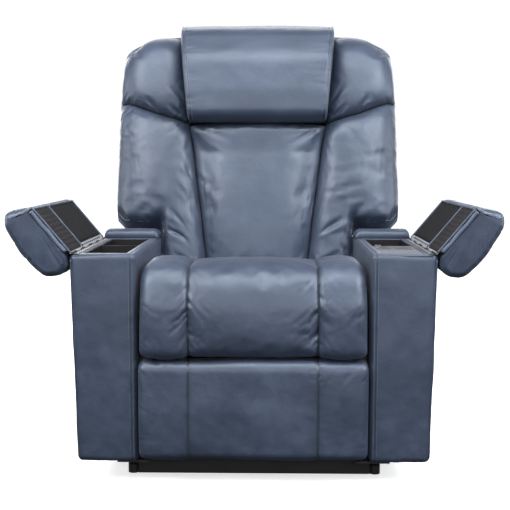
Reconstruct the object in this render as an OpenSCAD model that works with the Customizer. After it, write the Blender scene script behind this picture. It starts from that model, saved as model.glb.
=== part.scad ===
// Power lift recliner chair with storage wells and a cup holder under its armrest lids.
// X runs across the chair, +Z is up, and the sitter faces -Y. The origin is on the floor,
// under the middle of the chair. Inside the modules Y is counted from the arms' front faces.
// "Left" is -X and "right" is +X.

/* [Arms] */
// Width over both arms, at their tops
chair_w = 880; // [860:2:900]
// Height of the arm tops above the floor
arm_top = 563; // [556:1:575]
// Height of the arm undersides above the floor
arm_bottom = 57; // [56:1:70]
// Width of one arm
arm_w = 159; // [154:1:166]
// Length of an arm from front to rear
arm_len = 588; // [575:1:590]
// How far an arm's outer face leans in towards the floor
arm_taper = 12; // [0:1:16]
// Radius of the arms' outer edges
arm_edge = 20; // [12:1:26]
// Radius of the arms' inner top edges
arm_inner_edge = 10; // [6:1:14]
// Thickness of the padded leather over the arm frames
cover_t = 5; // [3:0.5:6]
// Thickness of the plywood of the arm frames
ply_t = 12; // [9:1:15]

/* [Wells] */
// Width of the opening in an arm's top
well_w = 104; // [96:1:108]
// Distance from an arm's inner face to its opening
well_inset = 25; // [22:1:28]
// Start of the opening, behind the arm's front face
well_front = 36; // [30:1:44]
// End of the opening, behind the arm's front face
well_rear = 436; // [420:1:438]
// Middle of the wall between the front and the rear well
well_split = 241; // [236:1:250]
// Thickness of the wall between the wells
split_t = 6; // [4:1:8]
// Thickness of the trays' walls
tray_t = 3; // [2:0.5:4]
// Depth of the front well
front_well_d = 118; // [90:1:140]
// Depth of the rear wells
rear_well_d = 150; // [110:1:180]

/* [Cup holder] */
// Radius of the cup holder's bore
cup_r = 44; // [38:0.5:45]
// Depth of the cup holder
cup_d = 78; // [60:1:90]
// Distance of the cup holder's centre behind the arm's front face
cup_y = 172; // [160:1:178]
// Thickness of the plate around the cup holder
plate_t = 4; // [3:0.5:5]
// Length of the sprung tabs that grip a cup
tab_len = 16; // [10:1:20]
// Radius of the hole in the accessory socket
socket_r = 5; // [3:0.5:6]

/* [Lids] */
// Angle that a lid turns through from open to closed
lid_turn = 130; // [120:1:132]
// Distance of the lid hinge line inside the arm's outer face
hinge_inset = 7; // [6:0.5:9]
// Radius of the hinge knuckles
knuckle_r = 2.5; // [2:0.1:3]
// Radius of the hinge pins
hinge_pin_r = 1.5; // [1.2:0.1:1.7]
// Thickness of the hinge leaves
leaf_t = 1.5; // [1:0.1:2]
// Width of the hinge leaves
leaf_w = 15; // [12:1:16]
// Number of knuckles along a hinge
knuckles = 9; // [5:2:13]
// Length of a lid
lid_len = 446; // [430:1:448]
// How far a lid's padding stands in front of the arm
lid_nose = 12; // [4:1:18]
// Thickness of a lid's board
lid_board_t = 10; // [8:1:12]
// Width of a lid's board
lid_board_w = 132; // [124:1:136]
// Greatest thickness of the lid's padding
lid_pad_h = 82; // [70:1:86]

/* [Seat] */
// Height of the seat's crown above the floor
seat_top = 534; // [525:1:540]
// Height of the seat front's lower edge above the floor
seat_bottom = 316; // [314:1:322]
// How far the seat front and the legrest stand in front of the arms
front_proud = 22; // [10:1:26]
// Distance of the seat's rear edge behind the arms' front faces
seat_rear = 495; // [485:1:500]
// Clearance at each side between the seat and the arms
seat_side_gap = 9; // [8:1:12]
// Distance of the two seat seams from the middle
seam_x = 156; // [145:1:165]
// Depth of the seat seams
seam_d = 9; // [4:1:12]
// Thickness of the seat box's plywood
box_t = 18; // [15:1:20]
// Height of the seat box's top edge above the floor
deck_z = 398; // [392:1:402]
// Number of springs under the seat
seat_springs_n = 5; // [3:1:6]

/* [Legrest] */
// Height of the legrest's upper edge above the floor
legrest_top = 306; // [300:1:307]
// Height of the legrest's lower edge above the floor
legrest_bottom = 62; // [60:1:68]
// Clearance at each side between the legrest and the arms
legrest_side_gap = 4; // [3:0.5:6]
// Thickness of the legrest's padding
legrest_pad_t = 64; // [54:1:66]
// Thickness of the legrest's board
legrest_board_t = 12; // [9:1:12]

/* [Back] */
// Lean of the back from upright
lean = 11; // [9:0.5:13]
// Distance of the back's hinge behind the arms' front faces
back_hinge_y = 600; // [596:1:604]
// Height of the back's hinge above the floor
back_hinge_z = 400; // [396:1:404]
// Distance from the back's widest side to the arms' outer sides
wing_inset = 20; // [16:1:30]
// Gap between the back and an arm, where the back stands between the arms
waist_gap = 8; // [7:1:12]
// Length of the back from its hinge to the top of its shell
back_len = 764; // [745:1:770]
// Depth of the back's shell behind the hinge
shell_depth = 118; // [105:1:124]
// Thickness of the leather and board of the back's shell
shell_t = 4; // [3:0.5:4]
// Depth of the back's cushions in front of the hinge
back_pad_front = 126; // [118:1:127]
// Half the width of the headrest bolster at its foot
bolster_half_w = 202; // [194:1:204]
// How far the bolster stands above the back's shell
bolster_rise = 17; // [10:1:24]
// Depth of the bolster in front of the hinge
bolster_front = 186; // [170:1:190]

/* [Lift base] */
// How far the base's cross bars reach past the arms' inner sides
base_reach = 9; // [5:1:15]
// Distance of the front cross bar behind the arms' front faces
base_front_y = 75; // [72:1:76]
// Distance of the rear cross bar behind the arms' front faces
base_rear_y = 600; // [598:1:606]
// Width of the base's bars, seen from above
bar_w = 38; // [34:1:38]
// Height of the cross bars
bar_h = 37; // [34:1:37]
// Gap between the cross bars and the floor
bar_lift = 3; // [2:0.5:4]
// Wall of the steel tubes
tube_wall = 2; // [1.5:0.5:3]
// Distance from an arm's inner side to the inner side of a base rail
rail_inset = 53; // [52:1:55]
// Width and height of the side rails
rail_s = 30; // [28:1:30]
// Radius of the round feet
foot_r = 14; // [12:1:15]
// Height of the round feet
foot_h = 22; // [18:1:26]

/* [Lift linkage] */
// Main link's pivot on the base: distance behind the arms' front faces
lift_y = 150; // [148:1:154]
// Main link's pivot on the base: height
lift_z = 50; // [50:1:53]
// Main link's pivot on the chassis: distance behind the arms' front faces
carry_y = 560; // [556:1:564]
// Main link's pivot on the chassis: height
carry_z = 150; // [148:1:154]
// Stay's pivot on the base: distance behind the arms' front faces
stay_base_y = 90; // [88:1:92]
// Stay's pivot on the base: height
stay_base_z = 68; // [67:1:69]
// Stay's pivot on the chassis: distance behind the arms' front faces
stay_y = 340; // [336:1:344]
// Stay's pivot on the chassis: height
stay_z = 180; // [178:1:182]
// Height of the main links
main_link_h = 36; // [30:1:38]
// Thickness of the lift links
link_t = 8; // [6:1:8]
// Radius of the lift torque tube
torque_r = 14; // [12:0.5:14]
// Radius of the pins that carry the chassis
carry_pin_r = 8; // [6:0.5:9]

/* [Chassis] */
// Thickness of the chassis side plates
plate_side_t = 5; // [4:0.5:5]
// Side of the square chassis cross tubes
cross_s = 25; // [20:1:26]
// Thickness of the brackets under the arms
bracket_t = 5; // [4:0.5:5]
// How far the brackets reach under the arms
bracket_reach = 51; // [40:1:60]
// Radius of the bolts that hold the arms
bolt_r = 4; // [3:0.5:5]

/* [Legrest linkage] */
// Rear link's pivot on the chassis: distance behind the arms' front faces
leg_pivot_y = 185; // [184:1:186]
// Rear link's pivot on the chassis: height
leg_pivot_z = 265; // [264:1:266]
// Joint between the rear and the front link: distance behind the arms' front faces
leg_knee_y = 135; // [134:1:136]
// Joint between the rear and the front link: height
leg_knee_z = 85; // [84:1:86]
// Front link's pivot on the legrest: distance behind the arms' front faces
leg_toe_y = 76; // [75:1:77]
// Front link's pivot on the legrest: height
leg_toe_z = 285; // [284:1:286]
// Height of the legrest links
leg_link_h = 26; // [20:1:28]
// Radius of the legrest links' pins
leg_pin_r = 6; // [5:0.5:6.5]
// Radius of the legrest's torque tube
leg_tube_r = 12; // [10:0.5:12]

/* [Actuators] */
// Radius of the actuators' rods
rod_r = 10; // [8:0.5:10]
// Radius of the actuators' outer tubes
sleeve_r = 17; // [15:0.5:18]
// Radius of the actuators' motors
motor_r = 21; // [18:0.5:22]
// Radius of the actuators' mounting pins
act_pin_r = 5; // [4:0.5:6]
// Length of the lift crank, from its pivot to its pin
lift_crank = 105; // [100:1:108]
// Angle of the lift crank above the horizontal
lift_crank_a = 70; // [68:1:72]
// Length of the legrest crank
leg_crank = 50; // [46:1:52]
// Angle of the legrest crank below the horizontal
leg_crank_a = 51.75; // [50:0.25:54]
// Length of the back's crank
back_crank = 85; // [80:1:88]
// Angle of the back's crank below the horizontal
back_crank_a = 66; // [64:1:68]
// Distance of the legrest's and the back's actuators from the middle
act_x = 90; // [80:1:100]

/* [Hidden] */
$fn = 48;

// Colours
leather = [0.31, 0.35, 0.44];
steel_black = [0.07, 0.07, 0.08];
zinc = [0.72, 0.72, 0.75];
plastic_black = [0.10, 0.10, 0.11];
plastic_grey = [0.70, 0.70, 0.75];
plywood = [0.76, 0.63, 0.44];
webbing = [0.25, 0.25, 0.27];

// Clearances
eps = 0.01;        // overlap that lets a cut run past a face
fit = 0.05;        // radial clearance of a running fit
seat_clear = 0.3;  // gap between a cover or cushion and what carries it
gap = 1;           // side gap between links, plates and neighbouring cushions
crank_play = 1.5;  // play along the rod at the end of an actuator
leg_inset = 46;    // from an arm's inner side to the legrest's rear links
board_inset = 22;  // from the legrest's side to its board
plate_reach = 52;  // how far the chassis plates run past the back's hinge
link_waist = 1.5;  // how far a link's bar stands back from its round ends, each side

// Arms
arm_in = chair_w / 2 - arm_w;
hinge_x = chair_w / 2 - hinge_inset;
rail_x = arm_in - rail_inset;
base_half_w = arm_in + base_reach;
hinge_z = arm_top + knuckle_r + 0.5;
well_in = arm_in + well_inset;
well_out = well_in + well_w;

// Chassis plates stand just inside the arms, and the lift links just inside the plates
chassis_x = arm_in - 0.5 - plate_side_t;
main_link_x = rail_x + rail_s + plate_side_t + gap;
stay_x = rail_x - 2 * gap - plate_side_t - link_t;
leg_rear_x = arm_in - leg_inset;
leg_front_x = leg_rear_x - link_t - gap;
leg_bracket_x = leg_front_x - link_t - gap;
leg_half_w = arm_in - legrest_side_gap;
seat_half_w = arm_in - seat_side_gap;
box_out = chassis_x;
seat_box_y = legrest_pad_t - front_proud + 4;

// Back: s runs up the back from its hinge and n runs forward out of it
wing_half_w = chair_w / 2 - wing_inset;
waist_half_w = arm_in - waist_gap;
pad_back = 42;
shell_front = pad_back - 2;
frame_n = 20;
frame_t = 20;
back_brace_x = waist_half_w - shell_t - 5;
stile_x = 205;
headrest_s = 495;
headrest_n = frame_n + frame_t - 4;
shell_top = back_len - 2;
rear_reach = back_hinge_y + shell_top * sin(lean) + shell_depth * cos(lean);
front = (front_proud - rear_reach) / 2;

// Actuators: the height of each rod is the middle of its crank pin's rise and fall
lift_rod_z = lift_z + lift_crank * (1 + sin(lift_crank_a)) / 2;
leg_rod_z = leg_pivot_z - leg_crank * (1 + sin(leg_crank_a)) / 2;
back_rod_z = back_hinge_z - back_crank * (1 + sin(back_crank_a)) / 2;
lift_pin_y = lift_y + lift_crank * cos(lift_crank_a);
leg_pin_y = leg_pivot_y + leg_crank * cos(leg_crank_a);
back_pin_y = back_hinge_y + back_crank * cos(back_crank_a);
lift_play = lift_crank * (1 - sin(lift_crank_a)) / 2 + 1;
leg_play = leg_crank * (1 - sin(leg_crank_a)) / 2 + 1;
back_play = back_crank * (1 - sin(back_crank_a)) / 2 + 1;
lift_mount_y = base_rear_y + bar_w / 2;
rear_tube_y = 560;
rear_tube_z = 208;
front_tube_y = 225;
front_tube_z = 262;

// ---------------------------------------------------------------- helpers

// Unit vector along v
function unit(v) = v / norm(v);
// Point of a circle about c
function polar(c, r, a) = c + r * [cos(a), sin(a)];
// A corner at b between a and c, rounded with radius r in k steps
function corner(a, b, c, r, k) =
    let (u = unit(a - b), v = unit(c - b), half = acos(u * v) / 2, o = b + unit(u + v) * r / sin(half),
         s = b + u * r / tan(half) - o, turn = sign(cross(b - a, c - b)) * (180 - 2 * half))
    r == 0 ? [b] : [for (j = [0:k]) polar(o, r, atan2(s.y, s.x) + turn * j / k)];
// Closed outline through the corners p, each rounded with its radius in r
function rounded(p, r, k = 6) =
    let (n = len(p)) [for (i = [0:n - 1]) each corner(p[(i + n - 1) % n], p[i], p[(i + 1) % n], r[i], k)];
// Open curve through the corners p, with the inner ones rounded
function bent(p, r, k = 6) =
    let (n = len(p)) concat([p[0]], [for (i = [1:n - 2]) each corner(p[i - 1], p[i], p[i + 1], r[i], k)],
                            [p[n - 1]]);
// Running length of a curve at each of its points
function run(p, i = 0, sum = 0) =
    i == len(p) - 1 ? [sum] : concat([sum], run(p, i + 1, sum + norm(p[i + 1] - p[i])));
// The same curve with n evenly spaced points
function spaced(p, n) =
    let (s = run(p), total = s[len(s) - 1],
         xs = [for (i = [0:len(p) - 1]) [s[i], p[i].x]], ys = [for (i = [0:len(p) - 1]) [s[i], p[i].y]])
    [for (j = [0:n - 1]) let (t = total * j / (n - 1)) [lookup(t, xs), lookup(t, ys)]];
// The same closed outline with n evenly spaced points
function spaced_loop(p, n) = let (q = spaced(concat(p, [p[0]]), n + 1)) [for (i = [0:n - 1]) q[i]];
// Outline mirrored in X and turned round, to close a symmetric half
function mirrored(p) = [for (i = [len(p) - 1:-1:0]) [-p[i].x, p[i].y]];
// Mean of a list of points
function mean(p) = [for (v = p) 1] * p / len(p);
// Round-shouldered rise from 0 to 1 as t goes from 0 to 1
function shoulder(t, e) = pow(sin(90 * t), e);

// Solid through closed rings of equal length; each end is closed by a fan from the ring's
// point number hub, which sees all the others
module lofted(rings, hub) {
    n = len(rings[0]);
    m = len(rings);
    sides = [for (j = [0:m - 2], i = [0:n - 1])
        let (a = j * n + i, b = j * n + (i + 1) % n, c = a + n, d = b + n)
        each [[a, b, d], [a, d, c]]];
    near = [for (i = [0:n - 1]) if (i != hub && (i + 1) % n != hub) [hub, (i + 1) % n, i]];
    far = [for (f = near) [for (v = [2:-1:0]) (m - 1) * n + f[v]]];
    polyhedron([for (r = rings) each r], concat(sides, near, far));
}

// Crowned cushion on a closed outline in the X-Y plane, flat underneath, height h, with its
// crown over the point c, from which the whole outline is in sight. Its sides are drawn in at
// the foot and its crown is rounded over in the given rings.
module crowned(outline, h, c, rings = 6, draw_in = 0.03, boxy = 0.42) {
    n = len(outline);
    steps = [for (k = [0:rings - 1]) let (t = k / rings)
        [k == 0 ? 1 - draw_in : pow(cos(90 * (k - 1) / (rings - 1)), boxy), h * shoulder(t, 0.8)]];
    points = concat(
        [for (st = steps) each [for (p = outline) let (q = c + (p - c) * st[0]) [q.x, q.y, st[1]]]],
        [[c.x, c.y, h], [c.x, c.y, 0]]);
    top = n * rings;
    sides = [for (k = [0:rings - 2], i = [0:n - 1])
        let (a = k * n + i, b = k * n + (i + 1) % n)
        each [[a, b + n, b], [a, a + n, b + n]]];
    crown = [for (i = [0:n - 1]) [(rings - 1) * n + i, top, (rings - 1) * n + (i + 1) % n]];
    foot = [for (i = [0:n - 1]) [(i + 1) % n, top + 1, i]];
    polyhedron(points, concat(sides, crown, foot));
}

// Stations across a half cushion: its seam, its rounded end and the stretches between
function stations(half, seam, end_r) = concat(
    [for (x = [0.15, 0.45, 0.72]) x * seam],
    [for (x = [-13, -5, 0, 5, 13]) seam + x],
    [for (x = [0.3, 0.7]) seam + 13 + x * (half - end_r - seam - 13)],
    [for (a = [0:30:90]) half - end_r + end_r * sin(a)]);
// Both halves, from -X to +X
function both(x) = concat([for (i = [len(x) - 1:-1:0]) -x[i]], x);
// How deep a seam and a rounded end draw the surface in at station x
function drawn(x, half, seam, end_r, depth) =
    let (e = max(0, abs(x) - half + end_r) / end_r)
    depth * exp(-pow((abs(x) - seam) / 9, 2)) + end_r * (1 - sqrt(max(0, 1 - e * e)));
// Normal of an open curve at point i, to the left of its run
function normal(p, i) =
    let (d = unit(p[min(i + 1, len(p) - 1)] - p[max(i - 1, 0)])) [-d.y, d.x];

// Two copies, one on each side of the chair
module both_sides() {
    children();
    mirror([1, 0, 0]) children();
}
// A flat shape drawn in the Y-Z plane, from x to x + t
module slab(x, t) translate([x, 0, 0]) rotate([90, 0, 90]) linear_extrude(t) children();
// A pin or tube along X
module rod_x(x0, x1, y, z, r) translate([x0, y, z]) rotate([0, 90, 0]) cylinder(r = r, h = x1 - x0);
// A flat link from a to b in the plane of slab: round ends of height h and a slimmer bar
module link_shape(a, b, h) {
    d = b - a;
    bar = h - 2 * link_waist;
    translate(a) circle(h / 2);
    translate(b) circle(h / 2);
    translate(a) rotate(atan2(d.y, d.x)) translate([0, -bar / 2]) square([norm(d), bar]);
}
// The back's own frame: children are drawn with X across, Y up the back and Z out of it
module on_back() translate([0, back_hinge_y, back_hinge_z]) rotate([90 - lean, 0, 0]) children();
// The whole chair's place over the floor
module placed() translate([0, front, 0]) children();

// ---------------------------------------------------------------- lift base

module square_tube(size, wall, along) {
    inner = [for (i = [0:2]) i == along ? size[i] + 2 * eps : size[i] - 2 * wall];
    shift = [for (i = [0:2]) i == along ? -eps : wall];
    difference() {
        cube(size);
        translate(shift) cube(inner);
    }
}

module base_cross_bars() color(steel_black)
    for (y = [base_front_y, base_rear_y])
        translate([-base_half_w, y, bar_lift])
            square_tube([2 * base_half_w, bar_w, bar_h], tube_wall, 0);

module base_side_rails() color(steel_black) both_sides()
    translate([rail_x, base_front_y + bar_w, bar_lift + 1])
        square_tube([rail_s, base_rear_y - base_front_y - bar_w, rail_s], tube_wall, 1);

module base_feet() color(plastic_black) both_sides()
    for (y = [base_front_y, base_rear_y]) translate([base_half_w, y + bar_w / 2, 0]) {
        translate([foot_r + seat_clear, 0, 0]) cylinder(r = foot_r, h = foot_h);
        translate([-foot_r / 2, -foot_r / 2, bar_lift + tube_wall])
            cube([1.5 * foot_r, foot_r, foot_h - bar_lift - tube_wall - 3]);
    }

module base_pivot_ears() color(steel_black) both_sides() {
    slab(rail_x + rail_s, plate_side_t) difference() {
        union() {
            translate([lift_y, lift_z]) circle(torque_r + 8);
            translate([lift_y - torque_r - 8, bar_lift + 2])
                square([2 * torque_r + 16, lift_z - bar_lift - 2]);
        }
        translate([lift_y, lift_z]) circle(torque_r + fit);
    }
    slab(rail_x - gap - plate_side_t, plate_side_t) {
        translate([stay_base_y, stay_base_z]) circle(14);
        translate([stay_base_y - 14, bar_lift + bar_h]) square([28, stay_base_z - bar_lift - bar_h]);
    }
    rod_x(stay_x, rail_x - gap - plate_side_t / 2, stay_base_y, stay_base_z, carry_pin_r - 1);
}

// Two cheeks and a pin that carry an actuator's rear eye, standing on something at z0
module clevis(x, y, z, z0) {
    for (side = [-1, 1]) slab(x + side * 15.5 - 2.5, 5) {
        translate([y, z]) circle(act_pin_r + 7);
        translate([y - act_pin_r - 7, min(z, z0)]) square([2 * act_pin_r + 14, abs(z - z0)]);
    }
    rod_x(x - 18, x + 18, y, z, act_pin_r);
}

module base_motor_lug() color(steel_black) clevis(0, lift_mount_y, lift_rod_z, bar_lift + bar_h);

// ---------------------------------------------------------------- actuators

// Housing of an actuator: eye at the origin, rod running along +Y for the given reach.
// The rod's bore starts at bore_start and the motor lies on the side given by side.
module actuator_housing(reach, bore_start, side) {
    motor_len = 105;
    difference() {
        union() {
            rod_x(-12, 12, 0, 0, act_pin_r + 7);
            translate([-12, 0, -8]) cube([24, 26, 16]);
            translate([-26, 24, -22]) cube([52, 62, 44]);
            translate([0, 80, 0]) rotate([-90, 0, 0]) cylinder(r = sleeve_r, h = reach - 80);
            translate([side * (26 + motor_r - 12), 30, 0]) rotate([-90, 0, 0])
                cylinder(r = motor_r, h = motor_len);
        }
        rod_x(-13, 13, 0, 0, act_pin_r + fit);
        translate([0, bore_start, 0]) rotate([-90, 0, 0])
            cylinder(r = rod_r + fit, h = reach - bore_start + 1);
    }
}

// Rod of an actuator, from start to its fork, whose slots let the crank's pin rise by play
module actuator_rod(start, pin, play) {
    cheek = 6;
    fork_half = 13;
    throat = 26;
    root = throat + 12;
    translate([0, start, 0]) rotate([-90, 0, 0]) cylinder(r = rod_r, h = pin - throat - 6 - start);
    difference() {
        translate([-fork_half, pin - root, -act_pin_r - play - 7])
            cube([2 * fork_half, root + act_pin_r + 7, 2 * (act_pin_r + play + 7)]);
        translate([-fork_half + cheek, pin - throat, -act_pin_r - play - 8])
            cube([2 * (fork_half - cheek), 60, 2 * (act_pin_r + play + 8)]);
        translate([-fork_half - 1, pin - act_pin_r - crank_play, -act_pin_r - play])
            cube([2 * fork_half + 2, 2 * (act_pin_r + crank_play), 2 * (act_pin_r + play)]);
    }
}

// Crank plate from a tube at a to a pin at b, with the pin through it
module crank(x, a, b) {
    slab(x - 5, 10) link_shape(a, b, 2 * act_pin_r + 12);
    rod_x(x - 14, x + 14, b.x, b.y, act_pin_r);
}

lift_len = lift_mount_y - lift_pin_y;
leg_mount_y = rear_tube_y - act_pin_r - 15;
leg_len = leg_mount_y - leg_pin_y;
back_mount_y = front_tube_y + cross_s / 2;
recline_len = back_pin_y - back_mount_y;

module lift_motor() color(plastic_black) translate([0, lift_mount_y, lift_rod_z])
    rotate([0, 0, 180]) actuator_housing(lift_len - 104, lift_len - 240, 1);
module lift_rod() color(zinc) translate([0, lift_mount_y, lift_rod_z])
    rotate([0, 0, 180]) actuator_rod(lift_len - 235, lift_len, lift_play);

module legrest_motor() color(plastic_black) translate([act_x, leg_mount_y, leg_rod_z])
    rotate([0, 0, 180]) actuator_housing(leg_len - 96, leg_len - 215, 1);
module legrest_rod() color(zinc) translate([act_x, leg_mount_y, leg_rod_z])
    rotate([0, 0, 180]) actuator_rod(leg_len - 210, leg_len, leg_play);

module recline_motor() color(plastic_black) translate([-act_x, back_mount_y, back_rod_z])
    actuator_housing(recline_len - 112, recline_len - 270, 1);
module recline_rod() color(zinc) translate([-act_x, back_mount_y, back_rod_z])
    actuator_rod(recline_len - 190, recline_len, back_play);

// ---------------------------------------------------------------- lift linkage

module lift_main_links() color(steel_black) both_sides() {
    slab(main_link_x, link_t) difference() {
        link_shape([lift_y, lift_z], [carry_y, carry_z], main_link_h);
        translate([lift_y, lift_z]) circle(torque_r);
    }
    rod_x(main_link_x + link_t / 2, arm_in - 0.5, carry_y, carry_z, carry_pin_r);
}

module lift_torque_tube() color(steel_black) {
    difference() {
        rod_x(-main_link_x - link_t, main_link_x + link_t, lift_y, lift_z, torque_r);
        rod_x(-main_link_x - link_t - 1, main_link_x + link_t + 1, lift_y, lift_z, torque_r - 3);
    }
    difference() {
        crank(0, [lift_y, lift_z], polar([lift_y, lift_z], lift_crank, lift_crank_a));
        rod_x(-6, 6, lift_y, lift_z, torque_r - 1);
    }
}

module lift_stay_links() color(steel_black) both_sides() slab(stay_x, link_t) difference() {
    link_shape([stay_base_y, stay_base_z], [stay_y, stay_z], 30);
    translate([stay_base_y, stay_base_z]) circle(carry_pin_r - 1 + fit);
    translate([stay_y, stay_z]) circle(carry_pin_r + 2);
}

// ---------------------------------------------------------------- chassis

plate_rear = back_hinge_y + plate_reach;
plate_corners = [
    [62, arm_bottom], [106, arm_bottom], [150, 214], [300, 150], [380, 150], [500, arm_bottom],
    [back_hinge_y, arm_bottom], [plate_rear, 200], [plate_rear, 330],
    [back_hinge_y + 28, back_hinge_z + 24],
    [back_hinge_y - 28, back_hinge_z + 24], [back_hinge_y - 44, 300], [120, 300], [62, 200],
];
plate_corner_r = [4, 4, 20, 30, 30, 6, 6, 20, 20, 24, 24, 30, 20, 30];

module chassis_plates() color(steel_black) both_sides() {
    slab(chassis_x, plate_side_t) difference() {
        polygon(rounded(plate_corners, plate_corner_r));
        translate([carry_y, carry_z]) circle(carry_pin_r + fit);
        translate([leg_pivot_y, leg_pivot_z]) circle(leg_tube_r + fit);
        translate([back_hinge_y, back_hinge_z]) circle(carry_pin_r + fit);
        for (p = bolt_places) translate(p) circle(bolt_r + 0.2);
    }
    rod_x(stay_x - 2, chassis_x + plate_side_t / 2, stay_y, stay_z, carry_pin_r);
}

// Where the arm bolts pass through the plates, in Y and Z
bolt_places = [[86, 170], [270, 250], [arm_len - 63, 262]];

module arm_bolts() color(zinc) both_sides() for (p = bolt_places) {
    rod_x(chassis_x - 2.5, chassis_x, p.x, p.y, bolt_r + 3);
    rod_x(chassis_x, arm_in + cover_t + ply_t, p.x, p.y, bolt_r);
}

module chassis_cross_tubes() color(steel_black) {
    for (p = [[front_tube_y, front_tube_z], [rear_tube_y, rear_tube_z]])
        translate([-chassis_x, p.x, p.y]) square_tube([2 * chassis_x, cross_s, cross_s], tube_wall, 0);
    clevis(-act_x, back_mount_y, back_rod_z, front_tube_z + cross_s);
    for (side = [-1, 1]) slab(act_x + side * 15.5 - 2.5, 5) {
        translate([leg_mount_y, leg_rod_z]) circle(act_pin_r + 7);
        translate([leg_mount_y, leg_rod_z - act_pin_r - 7])
            square([rear_tube_y - leg_mount_y, 2 * act_pin_r + 14]);
    }
    rod_x(act_x - 18, act_x + 18, leg_mount_y, leg_rod_z, act_pin_r);
}

module arm_brackets() color(steel_black) both_sides() for (y = [8, arm_len - 88])
    translate([chassis_x - 25, y, arm_bottom - bracket_t])
        cube([arm_in - chassis_x + 25 + bracket_reach, 96, bracket_t]);

module control_box() color(plastic_black) translate([chassis_x - 60, 385, 212]) difference() {
    cube([60, 110, 64]);
    translate([2.5, 2.5, 2.5]) cube([55, 105, 59]);
    translate([20, 105, 20]) cube([26, 10, 22]);
}
module power_inlet() color(plastic_grey) translate([chassis_x - 40, 489, 232]) difference() {
    translate([0.2, 0, 0.2]) cube([25.6, 8, 21.6]);
    translate([4, 3, 4]) cube([18, 6, 14]);
}

// ---------------------------------------------------------------- seat

module seat_box() color(plywood) {
    rear_y = seat_rear + 5;
    both_sides() translate([box_out - box_t, seat_box_y, 290])
        cube([box_t, rear_y - seat_box_y, deck_z - 290]);
    for (rail = [[seat_box_y, seat_bottom + 2], [rear_y - box_t, back_rod_z + sleeve_r + 6]])
        translate([-box_out + box_t, rail[0], rail[1]])
            cube([2 * (box_out - box_t), box_t, deck_z - rail[1]]);
}

// One wavy spring: a strip along Y from y0 to y1 about x
module wave(x, y0, y1) {
    swing = 18;
    thick = 3.5;
    waves = 11;
    pts = [for (i = [0:waves * 6]) let (t = i / (waves * 6))
        [x + swing * sin(360 * waves * t), y0 + (y1 - y0) * t]];
    side = [for (i = [0:len(pts) - 1]) normal(pts, i) * thick / 2];
    intersection() {
        polygon(concat([for (i = [0:len(pts) - 1]) pts[i] + side[i]],
                       [for (i = [len(pts) - 1:-1:0]) pts[i] - side[i]]));
        translate([x - 2 * swing, y0]) square([4 * swing, y1 - y0]);
    }
}

module seat_springs() color(zinc) translate([0, 0, deck_z - 10]) linear_extrude(3.5) {
    pitch = 2 * (box_out - box_t) / seat_springs_n;
    for (i = [0:seat_springs_n - 1])
        wave((i - (seat_springs_n - 1) / 2) * pitch, seat_box_y + box_t, seat_rear + 5 - box_t);
}

// Side view of the seat cushion, in Y and Z: over the front and crown, and along its underside
seat_over = spaced(bent([[24, seat_bottom], [-front_proud, seat_bottom + 4], [-front_proud - 2, 440],
                         [10, seat_top + 1], [150, seat_top + 4], [330, seat_top - 26],
                         [seat_rear, seat_top - 34]], [0, 30, 60, 70, 90, 200, 0], 7), 22);
seat_corner = [seat_box_y - seat_clear, deck_z + seat_clear];
seat_under = [[seat_rear, seat_corner.y], seat_corner, [seat_corner.x, seat_bottom]];

// Height that a seat section swells by at station x
function seat_swell(x) =
    abs(x) < seam_x ? 1 - 5 * (1 - pow(x / seam_x, 2)) - 3 :
    5 * (1 - pow((2 * abs(x) - seam_x - seat_half_w) / (seat_half_w - seam_x), 2));

module seat_cushion() color(leather) {
    end_r = 34;
    xs = both(stations(seat_half_w, seam_x, end_r));
    n = len(seat_over);
    lofted([for (x = xs)
        let (d = drawn(x, seat_half_w, seam_x, end_r, seam_d) - seat_swell(x))
        concat([for (i = [0:n - 1])
                   let (w = min(1, i / 4), q = seat_over[i] - normal(seat_over, i) * d * w)
                   [x, max(q.x, -front_proud), q.y]],
               [for (q = seat_under) [x, q.x, q.y]])], n + 1);
}

module rear_valance() color(leather) translate([-chassis_x, plate_rear + seat_clear, 72])
    cube([2 * chassis_x, 7, 252]);

// ---------------------------------------------------------------- arms

// Front view of an arm at +X, drawn in by d all round, in X and Z
function arm_outline(d) = rounded(
    [[arm_in + d, arm_bottom + d], [chair_w / 2 - arm_taper - d, arm_bottom + d],
     [chair_w / 2 - d, arm_top - d], [arm_in + d, arm_top - d]],
    [4, 8, max(1, arm_edge - d), max(1, arm_inner_edge - d)]);

// Solid arm, drawn in by d all round, with its upright front edges rounded
module arm_block(d) intersection() {
    translate([0, arm_len - d, 0]) rotate([90, 0, 0]) linear_extrude(arm_len - 2 * d)
        polygon(arm_outline(d));
    linear_extrude(arm_top + 10) polygon(rounded(
        [[arm_in + d - eps, d], [chair_w / 2 - d + eps, d], [chair_w / 2 - d + eps, arm_len - d + eps],
         [arm_in + d - eps, arm_len - d + eps]],
        [max(1, arm_inner_edge - d), max(1, arm_edge - d), 3, 3]));
}

// The opening in the arm's top, grown by g, from z up
module arm_opening(g, z) translate([well_in - g, well_front - g, z])
    cube([well_w + 2 * g, well_rear - well_front + 2 * g, arm_top - z + 20]);

module arm_cover() difference() {
    arm_block(0);
    arm_block(cover_t);
    arm_opening(0, arm_top - cover_t - 30);
    for (p = bolt_places) rod_x(arm_in - 1, arm_in + cover_t + 1, p.x, p.y, bolt_r + 0.2);
}

module arm_frame() difference() {
    d = cover_t + seat_clear;
    arm_block(d);
    translate([arm_in + d + ply_t, d + ply_t, arm_bottom + d + ply_t])
        cube([arm_w - 2 * (d + ply_t) - arm_taper, arm_len - 2 * (d + ply_t),
              arm_top - arm_bottom - 2 * (d + ply_t)]);
    arm_opening(seat_clear, arm_top - rear_well_d - 5);
    for (p = bolt_places) rod_x(arm_in, arm_in + d + ply_t + 1, p.x, p.y, bolt_r + 0.2);
}

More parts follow.
